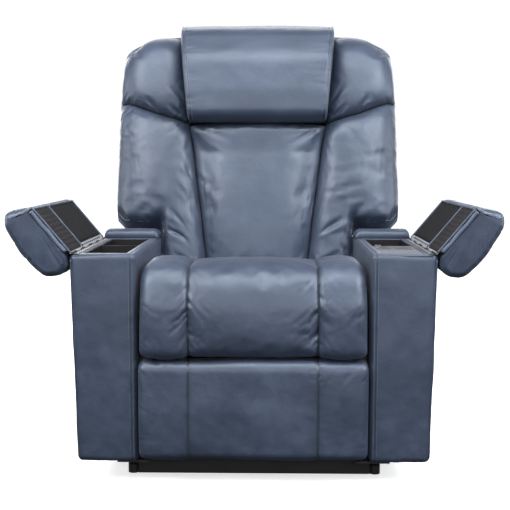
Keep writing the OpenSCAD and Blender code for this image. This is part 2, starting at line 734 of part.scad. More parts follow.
module arm_right_frame() color(plywood) arm_frame();
module arm_left_frame() color(plywood) mirror([1, 0, 0]) arm_frame();
module arm_right_cover() color(leather) arm_cover();
module arm_left_cover() color(leather) mirror([1, 0, 0]) arm_cover();

// One well: a box open at the top, from y0 to y1, of the given depth
module well(y0, y1, depth) translate([well_in + seat_clear, y0, arm_top - depth]) difference() {
    size = [well_w - 2 * seat_clear, y1 - y0, depth - 1];
    cube(size);
    translate([tray_t, tray_t, tray_t]) cube([size.x - 2 * tray_t, size.y - 2 * tray_t, depth]);
}

module arm_left_tray() color(plastic_black) mirror([1, 0, 0]) {
    well(well_front + seat_clear, well_split + split_t / 2 - tray_t, front_well_d);
    well(well_split + split_t / 2 - tray_t, well_rear - seat_clear, rear_well_d);
}
module arm_right_tray() color(plastic_black)
    well(well_split + split_t / 2 - tray_t, well_rear - seat_clear, rear_well_d);

cup_x = (well_in + well_out) / 2;
plate_z = arm_top - 1 - plate_t;
socket_x = well_in + 14;
socket_y = 226;

module cup_holder() color(plastic_grey) difference() {
    union() {
        translate([well_in + seat_clear, well_front + seat_clear, plate_z])
            cube([well_w - 2 * seat_clear, well_split - well_front - 2 * seat_clear - split_t / 2, plate_t]);
        translate([cup_x, cup_y, arm_top - cup_d]) cylinder(r = cup_r + 2.5, h = cup_d + 0.5);
        translate([cup_x, cup_y, plate_z]) cylinder(r = cup_r + 5, h = plate_t + 2);
        translate([socket_x, socket_y, plate_z - 14]) cylinder(r = socket_r + 3.5, h = plate_t + 18);
    }
    translate([cup_x, cup_y, arm_top - cup_d + 3]) cylinder(r = cup_r, h = cup_d + 5);
    translate([socket_x, socket_y, plate_z - 15]) cylinder(r = socket_r, h = plate_t + 30);
}

// Sprung tabs round the mouth of the cup holder
module cup_tabs() color(plastic_grey) translate([cup_x, cup_y, arm_top - 8]) for (i = [0:5])
    rotate([0, 0, 60 * i + 30]) translate([cup_r - tab_len, -5, 0]) cube([tab_len - 0.2, 10, 2]);

// Side view of a rear arm pad, in Y and Z above the arm's top
pad_over = spaced(bent([[lid_len + 8, 0], [lid_len + 3, 18], [lid_len + 26, 28], [arm_len - 56, 20],
                        [arm_len - 2, 8], [arm_len - 1, 0]],
                       [0, 12, 30, 60, 6, 0], 5), 12);
pad_mid_y = (pad_over[0].x + arm_len) / 2;

module rear_pad() {
    end_r = 16;
    half = (arm_w - 6) / 2;
    xs = both(concat([for (t = [0.2, 0.8]) t * (half - end_r)],
                     [for (a = [0:30:90]) half - end_r + end_r * sin(a)]));
    translate([arm_in + arm_w / 2, 0, arm_top + seat_clear]) lofted([for (x = xs)
        let (e = max(0, abs(x) - half + end_r) / end_r, k = sqrt(1 - 0.8 * e * e))
        concat([for (q = pad_over) [x, pad_mid_y + (q.x - pad_mid_y) * (0.9 + 0.1 * k), q.y * k]],
               [[x, pad_mid_y, 0]])], len(pad_over));
}
module arm_right_rear_pad() color(leather) rear_pad();
module arm_left_rear_pad() color(leather) mirror([1, 0, 0]) rear_pad();

// ---------------------------------------------------------------- lids

// Lid pieces are drawn closed, with the hinge line as origin: -X towards the seat, +Z up
module lid_at(side) mirror([side < 0 ? 1 : 0, 0, 0]) translate([hinge_x, 0, hinge_z])
    rotate([0, lid_turn, 0]) children();

hinge_y0 = 4;
knuckle_len = (lid_len - 2 * hinge_y0) / knuckles;

// Every second knuckle of a hinge, from the first or the second one on
module hinge_knuckles(first) for (i = [first:2:knuckles - 1])
    translate([0, hinge_y0 + i * knuckle_len + 0.3, 0]) rotate([-90, 0, 0])
        cylinder(r = knuckle_r, h = knuckle_len - 0.6);

module arm_leaf(side) mirror([side < 0 ? 1 : 0, 0, 0]) translate([hinge_x, 0, hinge_z]) {
    difference() {
        union() {
            hinge_knuckles(0);
            for (i = [0:2:knuckles - 1])
                translate([-knuckle_r - 2, hinge_y0 + i * knuckle_len + 0.3, arm_top - hinge_z])
                cube([4, knuckle_len - 0.6, leaf_t]);
            translate([-leaf_w, hinge_y0, arm_top - hinge_z])
                cube([leaf_w - knuckle_r - 1, lid_len - 2 * hinge_y0, leaf_t]);
        }
        for (y = [30:48:lid_len - 20])
            translate([-leaf_w + 4.5, y, arm_top - hinge_z - 1]) cylinder(r = 2, h = 4);
    }
    translate([0, hinge_y0, 0]) rotate([-90, 0, 0]) cylinder(r = hinge_pin_r, h = lid_len - 2 * hinge_y0);
}
module arm_right_leaf() color(zinc) arm_leaf(1);
module arm_left_leaf() color(zinc) arm_leaf(-1);

lid_under = knuckle_r + leaf_t;

module lid_leaf(side) lid_at(side) difference() {
    union() {
        hinge_knuckles(1);
        for (i = [1:2:knuckles - 1]) translate([-2, hinge_y0 + i * knuckle_len + 0.3, knuckle_r - 1.3])
            cube([4, knuckle_len - 0.6, leaf_t + 1.3 - seat_clear]);
        translate([-leaf_w, hinge_y0, lid_under - leaf_t]) cube([leaf_w, lid_len - 2 * hinge_y0, leaf_t]);
    }
    translate([0, 0, 0]) rotate([-90, 0, 0]) cylinder(r = hinge_pin_r + fit, h = lid_len);
    for (y = [54:48:lid_len - 20]) translate([-leaf_w + 4.5, y, 0]) cylinder(r = 2, h = lid_under + 1);
}
module lid_right_leaf() color(zinc) lid_leaf(1);
module lid_left_leaf() color(zinc) lid_leaf(-1);

module lid_board(side) lid_at(side) difference() {
    translate([-8 - lid_board_w, 0, lid_under]) cube([lid_board_w, lid_len, lid_board_t]);
    translate([-8 - lid_board_w + 8, 148, lid_under - 1]) cube([lid_board_w - 30, 6, 2]);
}
module lid_right_board() color(plastic_black) lid_board(1);
module lid_left_board() color(plastic_black) lid_board(-1);

// Cross-section of a lid's padding, from the hinge edge over its crown to the free edge
lid_pad_foot = lid_under + lid_board_t + seat_clear;
lid_over = spaced(bent([[-4, lid_pad_foot], [20, 28], [24, 58], [2, lid_pad_foot + lid_pad_h - 6],
                        [-66, lid_pad_foot + lid_pad_h + 2], [-152, 84], [-177, 60], [-150, 6], [-142, 4]],
                       [0, 16, 30, 34, 160, 30, 16, 8, 0], 6), 20);
lid_base = [[-8 - lid_board_w - seat_clear, 5], [-8 - lid_board_w - seat_clear, lid_pad_foot]];

module lid_pad(side) lid_at(side) {
    nose_r = 28;
    n = len(lid_over);
    y0 = -lid_nose;
    y1 = lid_len;
    ys = concat([for (a = [90:-22.5:0]) y1 - nose_r * (1 - sin(a))],
                [for (t = [0.75, 0.5, 0.25]) y0 + nose_r + t * (y1 - y0 - 2 * nose_r)],
                [for (a = [0:22.5:90]) y0 + nose_r * (1 - sin(a))]);
    lofted([for (y = ys)
        let (e = max(0, y0 + nose_r - y, y - y1 + nose_r) / nose_r,
             d = 14 * (1 - sqrt(max(0, 1 - e * e))))
        concat([for (i = [0:n - 1])
                   let (w = min(1, min(i, n - 1 - i) / 4), q = lid_over[i] + normal(lid_over, i) * d * w)
                   [q.x, y, q.y]],
               [for (q = lid_base) [q.x, y, q.y]])], n + 1);
}
module lid_right_pad() color(leather) lid_pad(1);
module lid_left_pad() color(leather) lid_pad(-1);

// ---------------------------------------------------------------- legrest

module legrest_rear_links() color(steel_black) {
    rod_x(-arm_in + 0.5, arm_in - 0.5, leg_pivot_y, leg_pivot_z, leg_tube_r);
    both_sides() {
        slab(leg_rear_x, link_t) link_shape([leg_pivot_y, leg_pivot_z], [leg_knee_y, leg_knee_z], leg_link_h);
        rod_x(leg_front_x, leg_rear_x + link_t / 2, leg_knee_y, leg_knee_z, leg_pin_r);
    }
    crank(act_x, [leg_pivot_y, leg_pivot_z], polar([leg_pivot_y, leg_pivot_z], leg_crank, -leg_crank_a));
}

module legrest_front_links() color(steel_black) both_sides() slab(leg_front_x, link_t) difference() {
    link_shape([leg_knee_y, leg_knee_z], [leg_toe_y, leg_toe_z], leg_link_h);
    translate([leg_knee_y, leg_knee_z]) circle(leg_pin_r + fit);
    translate([leg_toe_y, leg_toe_z]) circle(leg_pin_r + fit);
}

leg_board_y = legrest_pad_t - front_proud + seat_clear;

module legrest_brackets() color(steel_black) both_sides() {
    board_back = leg_board_y + legrest_board_t;
    slab(leg_bracket_x, link_t) {
        translate([leg_toe_y, leg_toe_z]) circle(leg_link_h / 2);
        translate([board_back, leg_toe_z - 34]) square([leg_toe_y - board_back, 34 + leg_link_h / 2]);
    }
    translate([leg_bracket_x - 22, board_back, leg_toe_z - 34]) cube([22, 4, 34 + leg_link_h / 2]);
    rod_x(leg_bracket_x + link_t / 2, leg_front_x + link_t, leg_toe_y, leg_toe_z, leg_pin_r);
}

module legrest_board() color(plywood)
    translate([-leg_half_w + board_inset, leg_board_y, legrest_bottom + 10])
        cube([2 * (leg_half_w - board_inset), legrest_board_t, legrest_top - legrest_bottom - 20]);

leg_pad_back = legrest_pad_t - front_proud;
leg_over = spaced(bent([[leg_pad_back, legrest_bottom + 4], [20, legrest_bottom],
                        [-front_proud, legrest_bottom + 6],
                        [-front_proud - 1, (legrest_bottom + legrest_top) / 2],
                        [-front_proud, legrest_top - 4], [20, legrest_top], [leg_pad_back, legrest_top - 6]],
                       [0, 8, 34, 300, 34, 12, 0], 6), 18);

module legrest_pad() color(leather) {
    end_r = 26;
    xs = both(stations(leg_half_w, seam_x, end_r));
    n = len(leg_over);
    lofted([for (x = xs)
        let (d = drawn(x, leg_half_w, seam_x, end_r, seam_d - 2))
        concat([for (i = [0:n - 1])
                   let (w = min(1, min(i, n - 1 - i) / 4), q = leg_over[i] - normal(leg_over, i) * d * w)
                   [x, max(q.x, -front_proud), q.y]],
               [[x, leg_pad_back, (legrest_bottom + legrest_top) / 2]])], n);
}

// ---------------------------------------------------------------- back

// Right half of the back seen from the front, from its waist to the middle of its top,
// drawn in by d all round, in X and s
function back_half(d) = let (w = wing_half_w - d) [
    [waist_half_w - d, 178 + d], [w - 84, 182 + d], [w - 12, 205 + d], [w - 6, 240], [w - 8, 450],
    [w - 12, 560], [w - 18, 640], [w - 28, 692], [w - 54, shell_top - 32 - d],
    [w - 110, shell_top - 8 - d], [w - 200, shell_top - d]];
back_half_r = [4, 40, 20, 60, 200, 200, 100, 40, 40, 100, 60];

// Outline of the back's shell and frame, drawn in by d, with its lower edge at foot
function back_outline(d, foot) = let (h = back_half(d), n = len(h)) rounded(
    concat([[waist_half_w - d, foot]], h, mirrored(h), [[-waist_half_w + d, foot]]),
    concat([2], back_half_r, [for (i = [n - 1:-1:0]) back_half_r[i]], [2]), 4);

module back_shell() color(leather) on_back() difference() {
    translate([0, 0, -shell_depth]) linear_extrude(shell_depth + shell_front) polygon(back_outline(0, 45));
    translate([0, 0, -shell_depth + 2 * shell_t]) linear_extrude(shell_depth + shell_front)
        polygon(back_outline(shell_t, 20));
}

// Two stiles and three rails, each its own board
module back_frame() color(plywood) on_back() translate([0, 0, frame_n]) linear_extrude(frame_t) {
    difference() {
        polygon(back_outline(shell_t + 5, 50));
        translate([-stile_x, 0]) square([2 * stile_x, 2 * back_len]);
    }
    for (rail = [[50, 40], [430, 60], [shell_top - 60, 51]]) translate([-stile_x + seat_clear, rail[0]])
        square([2 * (stile_x - seat_clear), rail[1]]);
}

module back_webbing() color(webbing) on_back() translate([0, 0, frame_n + frame_t])
    for (s = [for (v = [110:56:400]) v, for (v = [560:56:660]) v])
        translate([-stile_x - 12, s, 0]) cube([2 * stile_x + 24, 38, 2]);

module bracket_plates() on_back() both_sides() {
    translate([back_brace_x, 0, 0]) rotate([90, 0, 90]) linear_extrude(5) difference() {
        union() {
            circle(26);
            translate([0, -26]) square([160, 52]);
        }
        circle(torque_r - 2);
    }
    translate([back_brace_x + 5, 0, 0]) rotate([0, 90, 0])
        cylinder(r = carry_pin_r, h = arm_in - 0.5 - back_brace_x - 5);
}

// Two bracket plates welded to a tube, with the crank that the actuator pulls
module back_brackets() color(steel_black) {
    bracket_plates();
    rod_x(-back_brace_x - 5, back_brace_x + 5, back_hinge_y, back_hinge_z, torque_r);
    hinge = [back_hinge_y, back_hinge_z];
    crank(-act_x, hinge, polar(hinge, back_crank, -back_crank_a));
}

// Half the width of the headrest bolster at s, and the edge of the cushions beside it
bolster_flare = 0.00047;
function bolster_x(s) = bolster_half_w * (1 + bolster_flare * (s - 480));
function bolster_edge(s) = bolster_x(s) + 3;

// Outlines of the back's cushions, in X and s
centre_outline = [[-143, 0], [143, 0], [197, 470], [-197, 470]];
wing_outline = [[146, 0], [waist_half_w - 2, 0], [waist_half_w - 1, 172], [wing_half_w - 80, 180],
                [wing_half_w - 8, 207], [wing_half_w, 246], [wing_half_w - 2, 340],
                [wing_half_w - 6, 470], [wing_half_w - 8, 532], [wing_half_w - 120, 500],
                [bolster_edge(480), 480]];
shoulder_outline = [[bolster_edge(488), 488], [wing_half_w - 120, 507], [wing_half_w - 7, 541],
                    [wing_half_w - 8, 590], [wing_half_w - 13, 644], [wing_half_w - 22, 682],
                    [wing_half_w - 34, 708], [wing_half_w - 68, shell_top - 24],
                    [wing_half_w - 118, shell_top - 8], [bolster_edge(760), shell_top]];

module back_pad(outline, radii, h, n, c) on_back() translate([0, 0, pad_back + seat_clear])
    crowned(spaced_loop(rounded(outline, radii, 5), n), h, c);

module back_centre_cushion() color(leather)
    back_pad(centre_outline, [14, 14, 16, 16], back_pad_front - pad_back - 4, 36, mean(centre_outline));
module wing(side) mirror([side < 0 ? 1 : 0, 0, 0])
    back_pad(wing_outline, [14, 14, 8, 30, 30, 30, 100, 100, 12, 60, 14], back_pad_front - pad_back, 40,
        [wing_half_w - 164, 330]);
module back_wing_right() color(leather) wing(1);
module back_wing_left() color(leather) wing(-1);
module shoulder_pad(side) mirror([side < 0 ? 1 : 0, 0, 0])
    back_pad(shoulder_outline, [14, 60, 12, 60, 60, 40, 40, 60, 60, 14], back_pad_front - pad_back - 10, 34,
        mean(shoulder_outline));
module back_shoulder_right() color(leather) shoulder_pad(1);
module back_shoulder_left() color(leather) shoulder_pad(-1);

// Cross-section of the headrest bolster, in s and n: over its front and top, and behind it
bolster_top = back_len + bolster_rise;
bolster_over = spaced(bent([[headrest_s + 1, pad_back + 4], [480, 150], [500, bolster_front - 2],
                            [560, bolster_front + 2], [680, 158], [bolster_top - 2, 96],
                            [bolster_top, 20], [back_len + 6, -10]],
                           [0, 24, 30, 60, 120, 46, 26, 0], 6), 22);
bolster_under = [[back_len + seat_clear, -8], [back_len + seat_clear, pad_back + seat_clear],
                 [headrest_s + 5, pad_back + seat_clear]];

// Two friction hinges under the headrest, with knuckles of width w at the places in xs and
// a leaf of 2 mm from s0 to s1
module headrest_hinges(xs, w, s0, s1) on_back() translate([0, headrest_s, headrest_n]) for (x = [-110, 110])
    for (k = xs) translate([x + k, 0, 0]) {
        rotate([0, 90, 0]) cylinder(r = 4, h = w);
        translate([0, -3, 0]) cube([w, 6, 5]);
        translate([0, s0, 4]) cube([w, s1 - s0, 2]);
    }
module headrest_pins(r, w) on_back() for (x = [-110, 110])
    translate([x - w / 2, headrest_s, headrest_n]) rotate([0, 90, 0]) cylinder(r = r, h = w);
module headrest_frame_leaf() color(zinc) {
    headrest_hinges([-30, 10.5], 19.5, -30, 3);
    headrest_pins(2, 60);
}
module headrest_leaf() color(zinc) difference() {
    headrest_hinges([-10], 20, -3, 44);
    headrest_pins(2 + fit, 22);
}

module headrest_bolster() color(leather) on_back() {
    end_r = 30;
    half = bolster_half_w;
    n = len(bolster_over);
    xs = both(concat([for (t = [0.15, 0.5, 0.85]) t * (half - end_r)],
                     [for (a = [0:30:90]) half - end_r + end_r * sin(a)]));
    lofted([for (x = xs)
        let (d = drawn(x, half, 10 * half, end_r, 0))
        concat([for (i = [0:n - 1])
                   let (w = min(1, min(i, n - 1 - i) / 4),
                        q = bolster_over[i] - normal(bolster_over, i) * d * w)
                   [x * bolster_x(q.x) / half, q.x, q.y]],
               [for (q = bolster_under) [x * bolster_x(q.x) / half, q.x, q.y]])], n + 1);
}

// ---------------------------------------------------------------- pieces

placed() base_cross_bars();
placed() base_side_rails();
placed() base_feet();
placed() base_pivot_ears();
placed() base_motor_lug();
placed() lift_motor();
placed() lift_rod();
placed() lift_main_links();
placed() lift_torque_tube();
placed() lift_stay_links();
placed() chassis_plates();
placed() chassis_cross_tubes();
placed() arm_brackets();
placed() arm_bolts();
placed() control_box();
placed() power_inlet();
placed() seat_box();
placed() seat_springs();
placed() seat_cushion();
placed() rear_valance();
placed() arm_left_frame();
placed() arm_left_cover();
placed() arm_left_tray();
placed() arm_left_rear_pad();
placed() arm_left_leaf();
placed() arm_right_frame();
placed() arm_right_cover();
placed() arm_right_tray();
placed() arm_right_rear_pad();
placed() arm_right_leaf();
placed() cup_holder();
placed() cup_tabs();
placed() lid_left_board();
placed() lid_left_pad();
placed() lid_left_leaf();
placed() lid_right_board();
placed() lid_right_pad();
placed() lid_right_leaf();
placed() legrest_motor();
placed() legrest_rod();
placed() legrest_rear_links();
placed() legrest_front_links();
placed() legrest_brackets();
placed() legrest_board();
placed() legrest_pad();
placed() recline_motor();
placed() recline_rod();
placed() back_frame();
placed() back_brackets();
placed() back_webbing();
placed() back_shell();
placed() back_centre_cushion();
placed() back_wing_left();
placed() back_wing_right();
placed() back_shoulder_left();
placed() back_shoulder_right();
placed() headrest_frame_leaf();
placed() headrest_leaf();
placed() headrest_bolster();
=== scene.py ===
import bmesh
import bpy
import math
import numpy as np
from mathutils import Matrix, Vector


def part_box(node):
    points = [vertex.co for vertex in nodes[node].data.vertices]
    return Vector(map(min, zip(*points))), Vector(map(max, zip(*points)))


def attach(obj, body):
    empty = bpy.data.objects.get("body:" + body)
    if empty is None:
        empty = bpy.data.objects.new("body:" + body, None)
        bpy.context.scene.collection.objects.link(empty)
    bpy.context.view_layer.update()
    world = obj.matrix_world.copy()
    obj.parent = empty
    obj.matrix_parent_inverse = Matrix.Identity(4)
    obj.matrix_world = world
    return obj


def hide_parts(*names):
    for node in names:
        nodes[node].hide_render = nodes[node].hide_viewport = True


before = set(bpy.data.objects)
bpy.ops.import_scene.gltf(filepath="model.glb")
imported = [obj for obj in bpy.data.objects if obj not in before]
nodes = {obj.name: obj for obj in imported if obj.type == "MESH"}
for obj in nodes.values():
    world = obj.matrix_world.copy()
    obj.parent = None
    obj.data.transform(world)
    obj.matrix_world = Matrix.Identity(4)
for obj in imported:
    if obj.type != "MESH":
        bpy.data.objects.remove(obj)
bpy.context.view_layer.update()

# All the making is in millimetres: x across the chair, y counted from the arms' front faces,
# z above the floor. FRONT brings y into the row frame.
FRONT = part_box("arm_right_cover")[0].y * 1000
LEAN = math.radians(11)                    # of the back
SIN, COS = math.sin(LEAN), math.cos(LEAN)
HINGE = (600.0, 400.0)                     # of the back, as y and z
ARM_IN, ARM_OUT, ARM_TAPER = 281.0, 440.0, 12.0
ARM_TOP, ARM_BOTTOM, ARM_LEN = 563.0, 57.0, 588.0
SEAM_X = 156.0                             # seams of the seat and the legrest
SEAMS = (-SEAM_X, SEAM_X)
SIDES = ((-1, "left"), (1, "right"))
STUFF_FRAMES = 14                          # steps of each cloth simulation
scene = bpy.context.scene


# ------------------------------------------------------------ numbers and noise

rng = np.random.default_rng(11)
PERM = rng.permutation(256)
GRAD = rng.normal(size=(256, 3))
GRAD /= np.linalg.norm(GRAD, axis=1)[:, None]


def noise(x, y, z=0.0):
    """Smooth gradient noise, about -0.5 to 0.5."""
    p = np.stack(np.broadcast_arrays(np.asarray(x, float), y, z), -1)
    i = np.floor(p).astype(int)
    f = p - i
    u = f * f * f * (f * (f * 6 - 15) + 10)
    total = 0.0
    for a in (0, 1):
        for b in (0, 1):
            for c in (0, 1):
                h = PERM[(PERM[(PERM[(i[..., 0] + a) & 255] + i[..., 1] + b) & 255] + i[..., 2] + c) & 255]
                d = (GRAD[h] * (f - np.array([a, b, c]))).sum(-1)
                wx = u[..., 0] if a else 1 - u[..., 0]
                wy = u[..., 1] if b else 1 - u[..., 1]
                wz = u[..., 2] if c else 1 - u[..., 2]
                total = total + wx * wy * wz * d
    return total


def creases(along, away, seed, pitch, reach, slant=0.0):
    """Fold lines that run out of a seam and fade: 0 to 1, at a distance away from the seam."""
    s = along / pitch + slant * away / pitch
    n = noise(s, away / (5 * pitch), seed) + 0.35 * noise(2.3 * s, away / (3 * pitch), seed + 9)
    line = unit(1 - np.abs(n) / 0.11) ** 1.4
    some = unit(0.45 + 1.6 * noise(along / (4.0 * pitch), 0.3, seed + 4))
    return line * some * np.exp(-np.abs(away) / reach)


def unit(t):
    return np.clip(t, 0, 1)


def bump(t, width):
    return np.exp(-(t / width) ** 2)


def corner_arc(a, b, c, r, k=6):
    """Points of the arc of radius r that rounds the corner b between a and c."""
    a, b, c = map(np.asarray, (a, b, c))
    u, v = (a - b) / np.linalg.norm(a - b), (c - b) / np.linalg.norm(c - b)
    half = math.acos(np.clip(u @ v, -1, 1)) / 2
    if r == 0 or abs(half - math.pi / 2) < 1e-3:
        return [b]
    mid = (u + v) / np.linalg.norm(u + v)
    o = b + mid * r / math.sin(half)
    s = b + u * r / math.tan(half) - o
    e = b + v * r / math.tan(half) - o
    a0, a1 = math.atan2(s[1], s[0]), math.atan2(e[1], e[0])
    d = (a1 - a0 + math.pi) % (2 * math.pi) - math.pi
    return [o + r * np.array([math.cos(a0 + d * j / k), math.sin(a0 + d * j / k)]) for j in range(k + 1)]


def bent(points, radii, k=8):
    """Open curve through points with rounded inner corners."""
    out = [np.asarray(points[0], float)]
    for i in range(1, len(points) - 1):
        out += corner_arc(points[i - 1], points[i], points[i + 1], radii[i], k)
    return np.array(out + [np.asarray(points[-1], float)])


def ring(points, radii, k=8):
    """Closed curve through points with rounded corners."""
    n = len(points)
    out = []
    for i in range(n):
        out += corner_arc(points[i - 1], points[i], points[(i + 1) % n], radii[i], k)
    return np.array(out)


def spaced(p, n):
    s = run_length(p)
    return read_at(np.linspace(0, s[-1], n), s, p)


def smooth(p, rounds=2):
    for _ in range(rounds):
        q = p.copy()
        q[1:-1] = (p[:-2] + 2 * p[1:-1] + p[2:]) / 4
        p = q
    return p


def run_length(p):
    """Length along a polyline up to each of its points."""
    return np.concatenate([[0], np.cumsum(np.linalg.norm(np.diff(p, axis=0), axis=1))])


def read_at(t, s, p):
    """The columns of p at the places t of its running length s."""
    return np.stack([np.interp(t, s, p[:, k]) for k in range(p.shape[1])], -1)


def normals2d(p):
    d = np.gradient(p, axis=0)
    d /= np.linalg.norm(d, axis=1)[:, None] + 1e-9
    return np.stack([-d[:, 1], d[:, 0]], 1)


def xyz(x, y, z):
    """Points from their coordinates, each an array or one number."""
    return np.stack(np.broadcast_arrays(x, y, z), -1)


def to_row(p):
    q = np.array(p, float).reshape(-1, 3).copy()
    q[:, 1] += FRONT
    return q / 1000


def on_back(x, s, n):
    """Place from the back's own frame: s up the back from its hinge, n forward out of it."""
    return xyz(x, HINGE[0] + s * SIN - n * COS, HINGE[1] + s * COS + n * SIN)


# ------------------------------------------------------------ meshes

def mesh_object(name, verts, faces, material, body, shade_and_tone=None):
    """Object from places in millimetres; the last argument is a number per vertex that tints its leather:
    random tone, and painted shade at seams, panel edges and recesses.
    """
    me = bpy.data.meshes.new(name)
    me.from_pydata(to_row(verts).tolist(), [], [tuple(int(i) for i in f) for f in faces])
    me.validate()
    me.update()
    me.polygons.foreach_set("use_smooth", [True] * len(me.polygons))
    ob = bpy.data.objects.new(name, me)
    scene.collection.objects.link(ob)
    me.materials.append(material)
    at = me.attributes.new("shade_and_tone", "FLOAT", "POINT")
    at.data.foreach_set("value", np.asarray(np.zeros(len(me.vertices)) if shade_and_tone is None else shade_and_tone, np.float32))
    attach(ob, body)
    return ob


def fix_normals(ob):
    bm = bmesh.new()
    bm.from_mesh(ob.data)
    bmesh.ops.recalc_face_normals(bm, faces=bm.faces)
    bm.to_mesh(ob.data)
    bm.free()


def coordinates(mesh):
    co = np.zeros(len(mesh.vertices) * 3, np.float32)
    mesh.vertices.foreach_get("co", co)
    return co.reshape(-1, 3)


def stuff(ob, free, cap, near, pressure, spare):
    """Cloth simulation of a cover: it swells between its held points, and the leather gathered at
    its seams creases. free marks the vertices that may move, cap is how far each may go and near
    its distance to a seam, in millimetres."""
    start = coordinates(ob.data)
    free = np.asarray(free, bool)
    held = ob.vertex_groups.new(name="held")
    held.add([int(i) for i in np.nonzero(~free)[0]], 1.0, "REPLACE")
    gathered = ob.vertex_groups.new(name="gathered")
    for k, q in enumerate(np.exp(-near / 16.0)):
        if q > 0.02:
            gathered.add([k], float(q), "REPLACE")
    mod = ob.modifiers.new("cloth", "CLOTH")
    cloth_settings = dict(
        quality=4, mass=0.3, air_damping=1.0, tension_stiffness=14, compression_stiffness=14,
        shear_stiffness=6, bending_stiffness=1.6, tension_damping=6, compression_damping=6, shear_damping=6,
        use_pressure=True, uniform_pressure_force=pressure, vertex_group_shrink="gathered",
        shrink_min=-0.004, shrink_max=-spare, vertex_group_mass="held")
    for key, value in cloth_settings.items():
        setattr(mod.settings, key, value)
    mod.settings.effector_weights.gravity = 0
    mod.collision_settings.use_collision = False
    mod.collision_settings.use_self_collision = False
    mod.point_cache.frame_start = 1
    mod.point_cache.frame_end = STUFF_FRAMES
    for f in range(1, STUFF_FRAMES + 1):
        scene.frame_set(f)
    done = coordinates(ob.evaluated_get(bpy.context.evaluated_depsgraph_get()).data)
    ob.modifiers.remove(mod)
    ob.vertex_groups.clear()
    scene.frame_set(1)
    d = (done - start) * free[:, None]
    size = np.linalg.norm(d, axis=1) * 1000
    cap = np.broadcast_to(np.asarray(cap, float), size.shape)
    k = np.where(size > 1e-6, cap * np.tanh(size / np.maximum(cap, 1e-6)) / np.maximum(size, 1e-6), 0)
    out = start + d * k[:, None]
    ob.data.vertices.foreach_set("co", out.reshape(-1).astype(np.float32))
    ob.data.update()


def places(ob, count):
    """The first count vertices of an object, in the millimetres of to_row's input."""
    p = coordinates(ob.data)[:count].astype(float) * 1000
    p[:, 1] -= FRONT
    return p


def grid_faces(nu, nv, base=0, wrap=False):
    f = []
    for i in range(nu - 1):
        for j in range(nv - (0 if wrap else 1)):
            a = base + i * nv + j
            b = base + i * nv + (j + 1) % nv
            f.append((a, b, b + nv, a + nv))
    return f


def skirt(nu, nv):
    """The rim of a grid of nu by nv points, in order, and the faces between it and a copy of it
    that follows the grid's points."""
    rim = ([i * nv for i in range(nu)] + [(nu - 1) * nv + j for j in range(1, nv)]
           + [i * nv + nv - 1 for i in range(nu - 2, -1, -1)] + [j for j in range(nv - 2, 0, -1)])
    m, base = len(rim), nu * nv
    faces = [(rim[k], rim[(k + 1) % m], base + (k + 1) % m, base + k) for k in range(m)]
    return rim, faces + [tuple(base + k for k in range(m))]


def filled(places, lo, hi, step, least, keep=()):
    """The places from lo to hi in order, but none closer than least to the one before unless it is
    kept, and more between them where they lie further apart than step."""
    pts = sorted(p for p in places if lo <= p <= hi)
    out = [pts[0]]
    for p in pts[1:]:
        if p - out[-1] >= least or p in keep:
            k = int((p - out[-1]) // step)
            out += list(np.linspace(out[-1], p, k + 2)[1:-1]) + [p]
    return np.array(out)


def stations(half, seams, end_r, step=9.0):
    """Places across a cushion: dense at its seams and its rounded ends."""
    xs = set()
    for s in seams:
        for d in (0, 1.2, 2.6, 4.5, 7, 10.5, 15, 21):
            xs |= {round(s - d, 2), round(s + d, 2)}
    for a in np.linspace(0, 90, 10):
        e = half - end_r + end_r * math.sin(math.radians(a))
        xs |= {round(e, 2), round(-e, 2)}
    return filled(xs, -half, half, step, 0.6)


def loft(name, body, over, under, hub, xs, place, inset, lift, nt, shade_and_tone=None, soft=None):
    """Closed leather cushion through sections across x. over is a section's outer curve and under
    closes it; hub is the point of under that its ends fan from. inset(x, t) draws the surface in
    and lift(x, t, length) moves it out. soft is the simulation's seams, cap, pressure and spare
    leather. Returns the object and its surface for pick."""
    c = smooth(spaced(over, nt), 2)
    nrm = normals2d(c)
    mid = c.mean(0)
    if ((c - mid) * nrm).sum() < 0:
        nrm = -nrm
    s = run_length(c)
    i = np.arange(nt)
    w = unit(np.minimum(i, nt - 1 - i) / 6)
    X, S = np.meshgrid(xs, s, indexing="ij")
    W = np.broadcast_to(w, X.shape)
    d = -inset(X, S) * W + lift(X, S, s[-1]) * W
    A = c[None, :, 0] + nrm[None, :, 0] * d
    B = c[None, :, 1] + nrm[None, :, 1] * d
    P = place(X, A, B)
    rings = np.zeros((len(xs), nt + len(under), 3))
    rings[:, :nt] = P
    for k, q in enumerate(under):
        rings[:, nt + k] = place(xs, *q)
    n = rings.shape[1]
    faces = grid_faces(len(xs), n, wrap=True)
    h = nt + hub
    last = (len(xs) - 1) * n
    for k in range(n):
        if k != h and (k + 1) % n != h:
            faces.append((h, (k + 1) % n, k))
            faces.append((last + h, last + k, last + (k + 1) % n))
    tn = np.zeros((len(xs), n))
    if shade_and_tone is not None:
        tn[:, :nt] = shade_and_tone(X, S)
    ob = mesh_object(name, rings.reshape(-1, 3), faces, BLUE, body, tn.reshape(-1))
    fix_normals(ob)
    if soft:
        seams, cap, pressure, spare = soft
        free = np.zeros((len(xs), n), bool)
        free[:, :nt] = (W >= 1) & (np.abs(X) < xs[-1] - 3)
        for q in seams:
            free[:, :nt] &= np.abs(X - q) > 1.6
        room = np.full((len(xs), n), float(cap))
        room[:, :nt] = 2.5 + (cap - 2.5) * unit((xs[-1] - np.abs(X)) / 30)
        near = np.full((len(xs), n), 99.0)
        near[:, :nt] = np.minimum(np.min([np.abs(X - q) for q in seams], 0), xs[-1] - np.abs(X))
        stuff(ob, free.reshape(-1), room.reshape(-1), near.reshape(-1), pressure, spare)
        P = places(ob, len(xs) * n).reshape(len(xs), n, 3)[:, :nt]
    return ob, (xs, s, P)


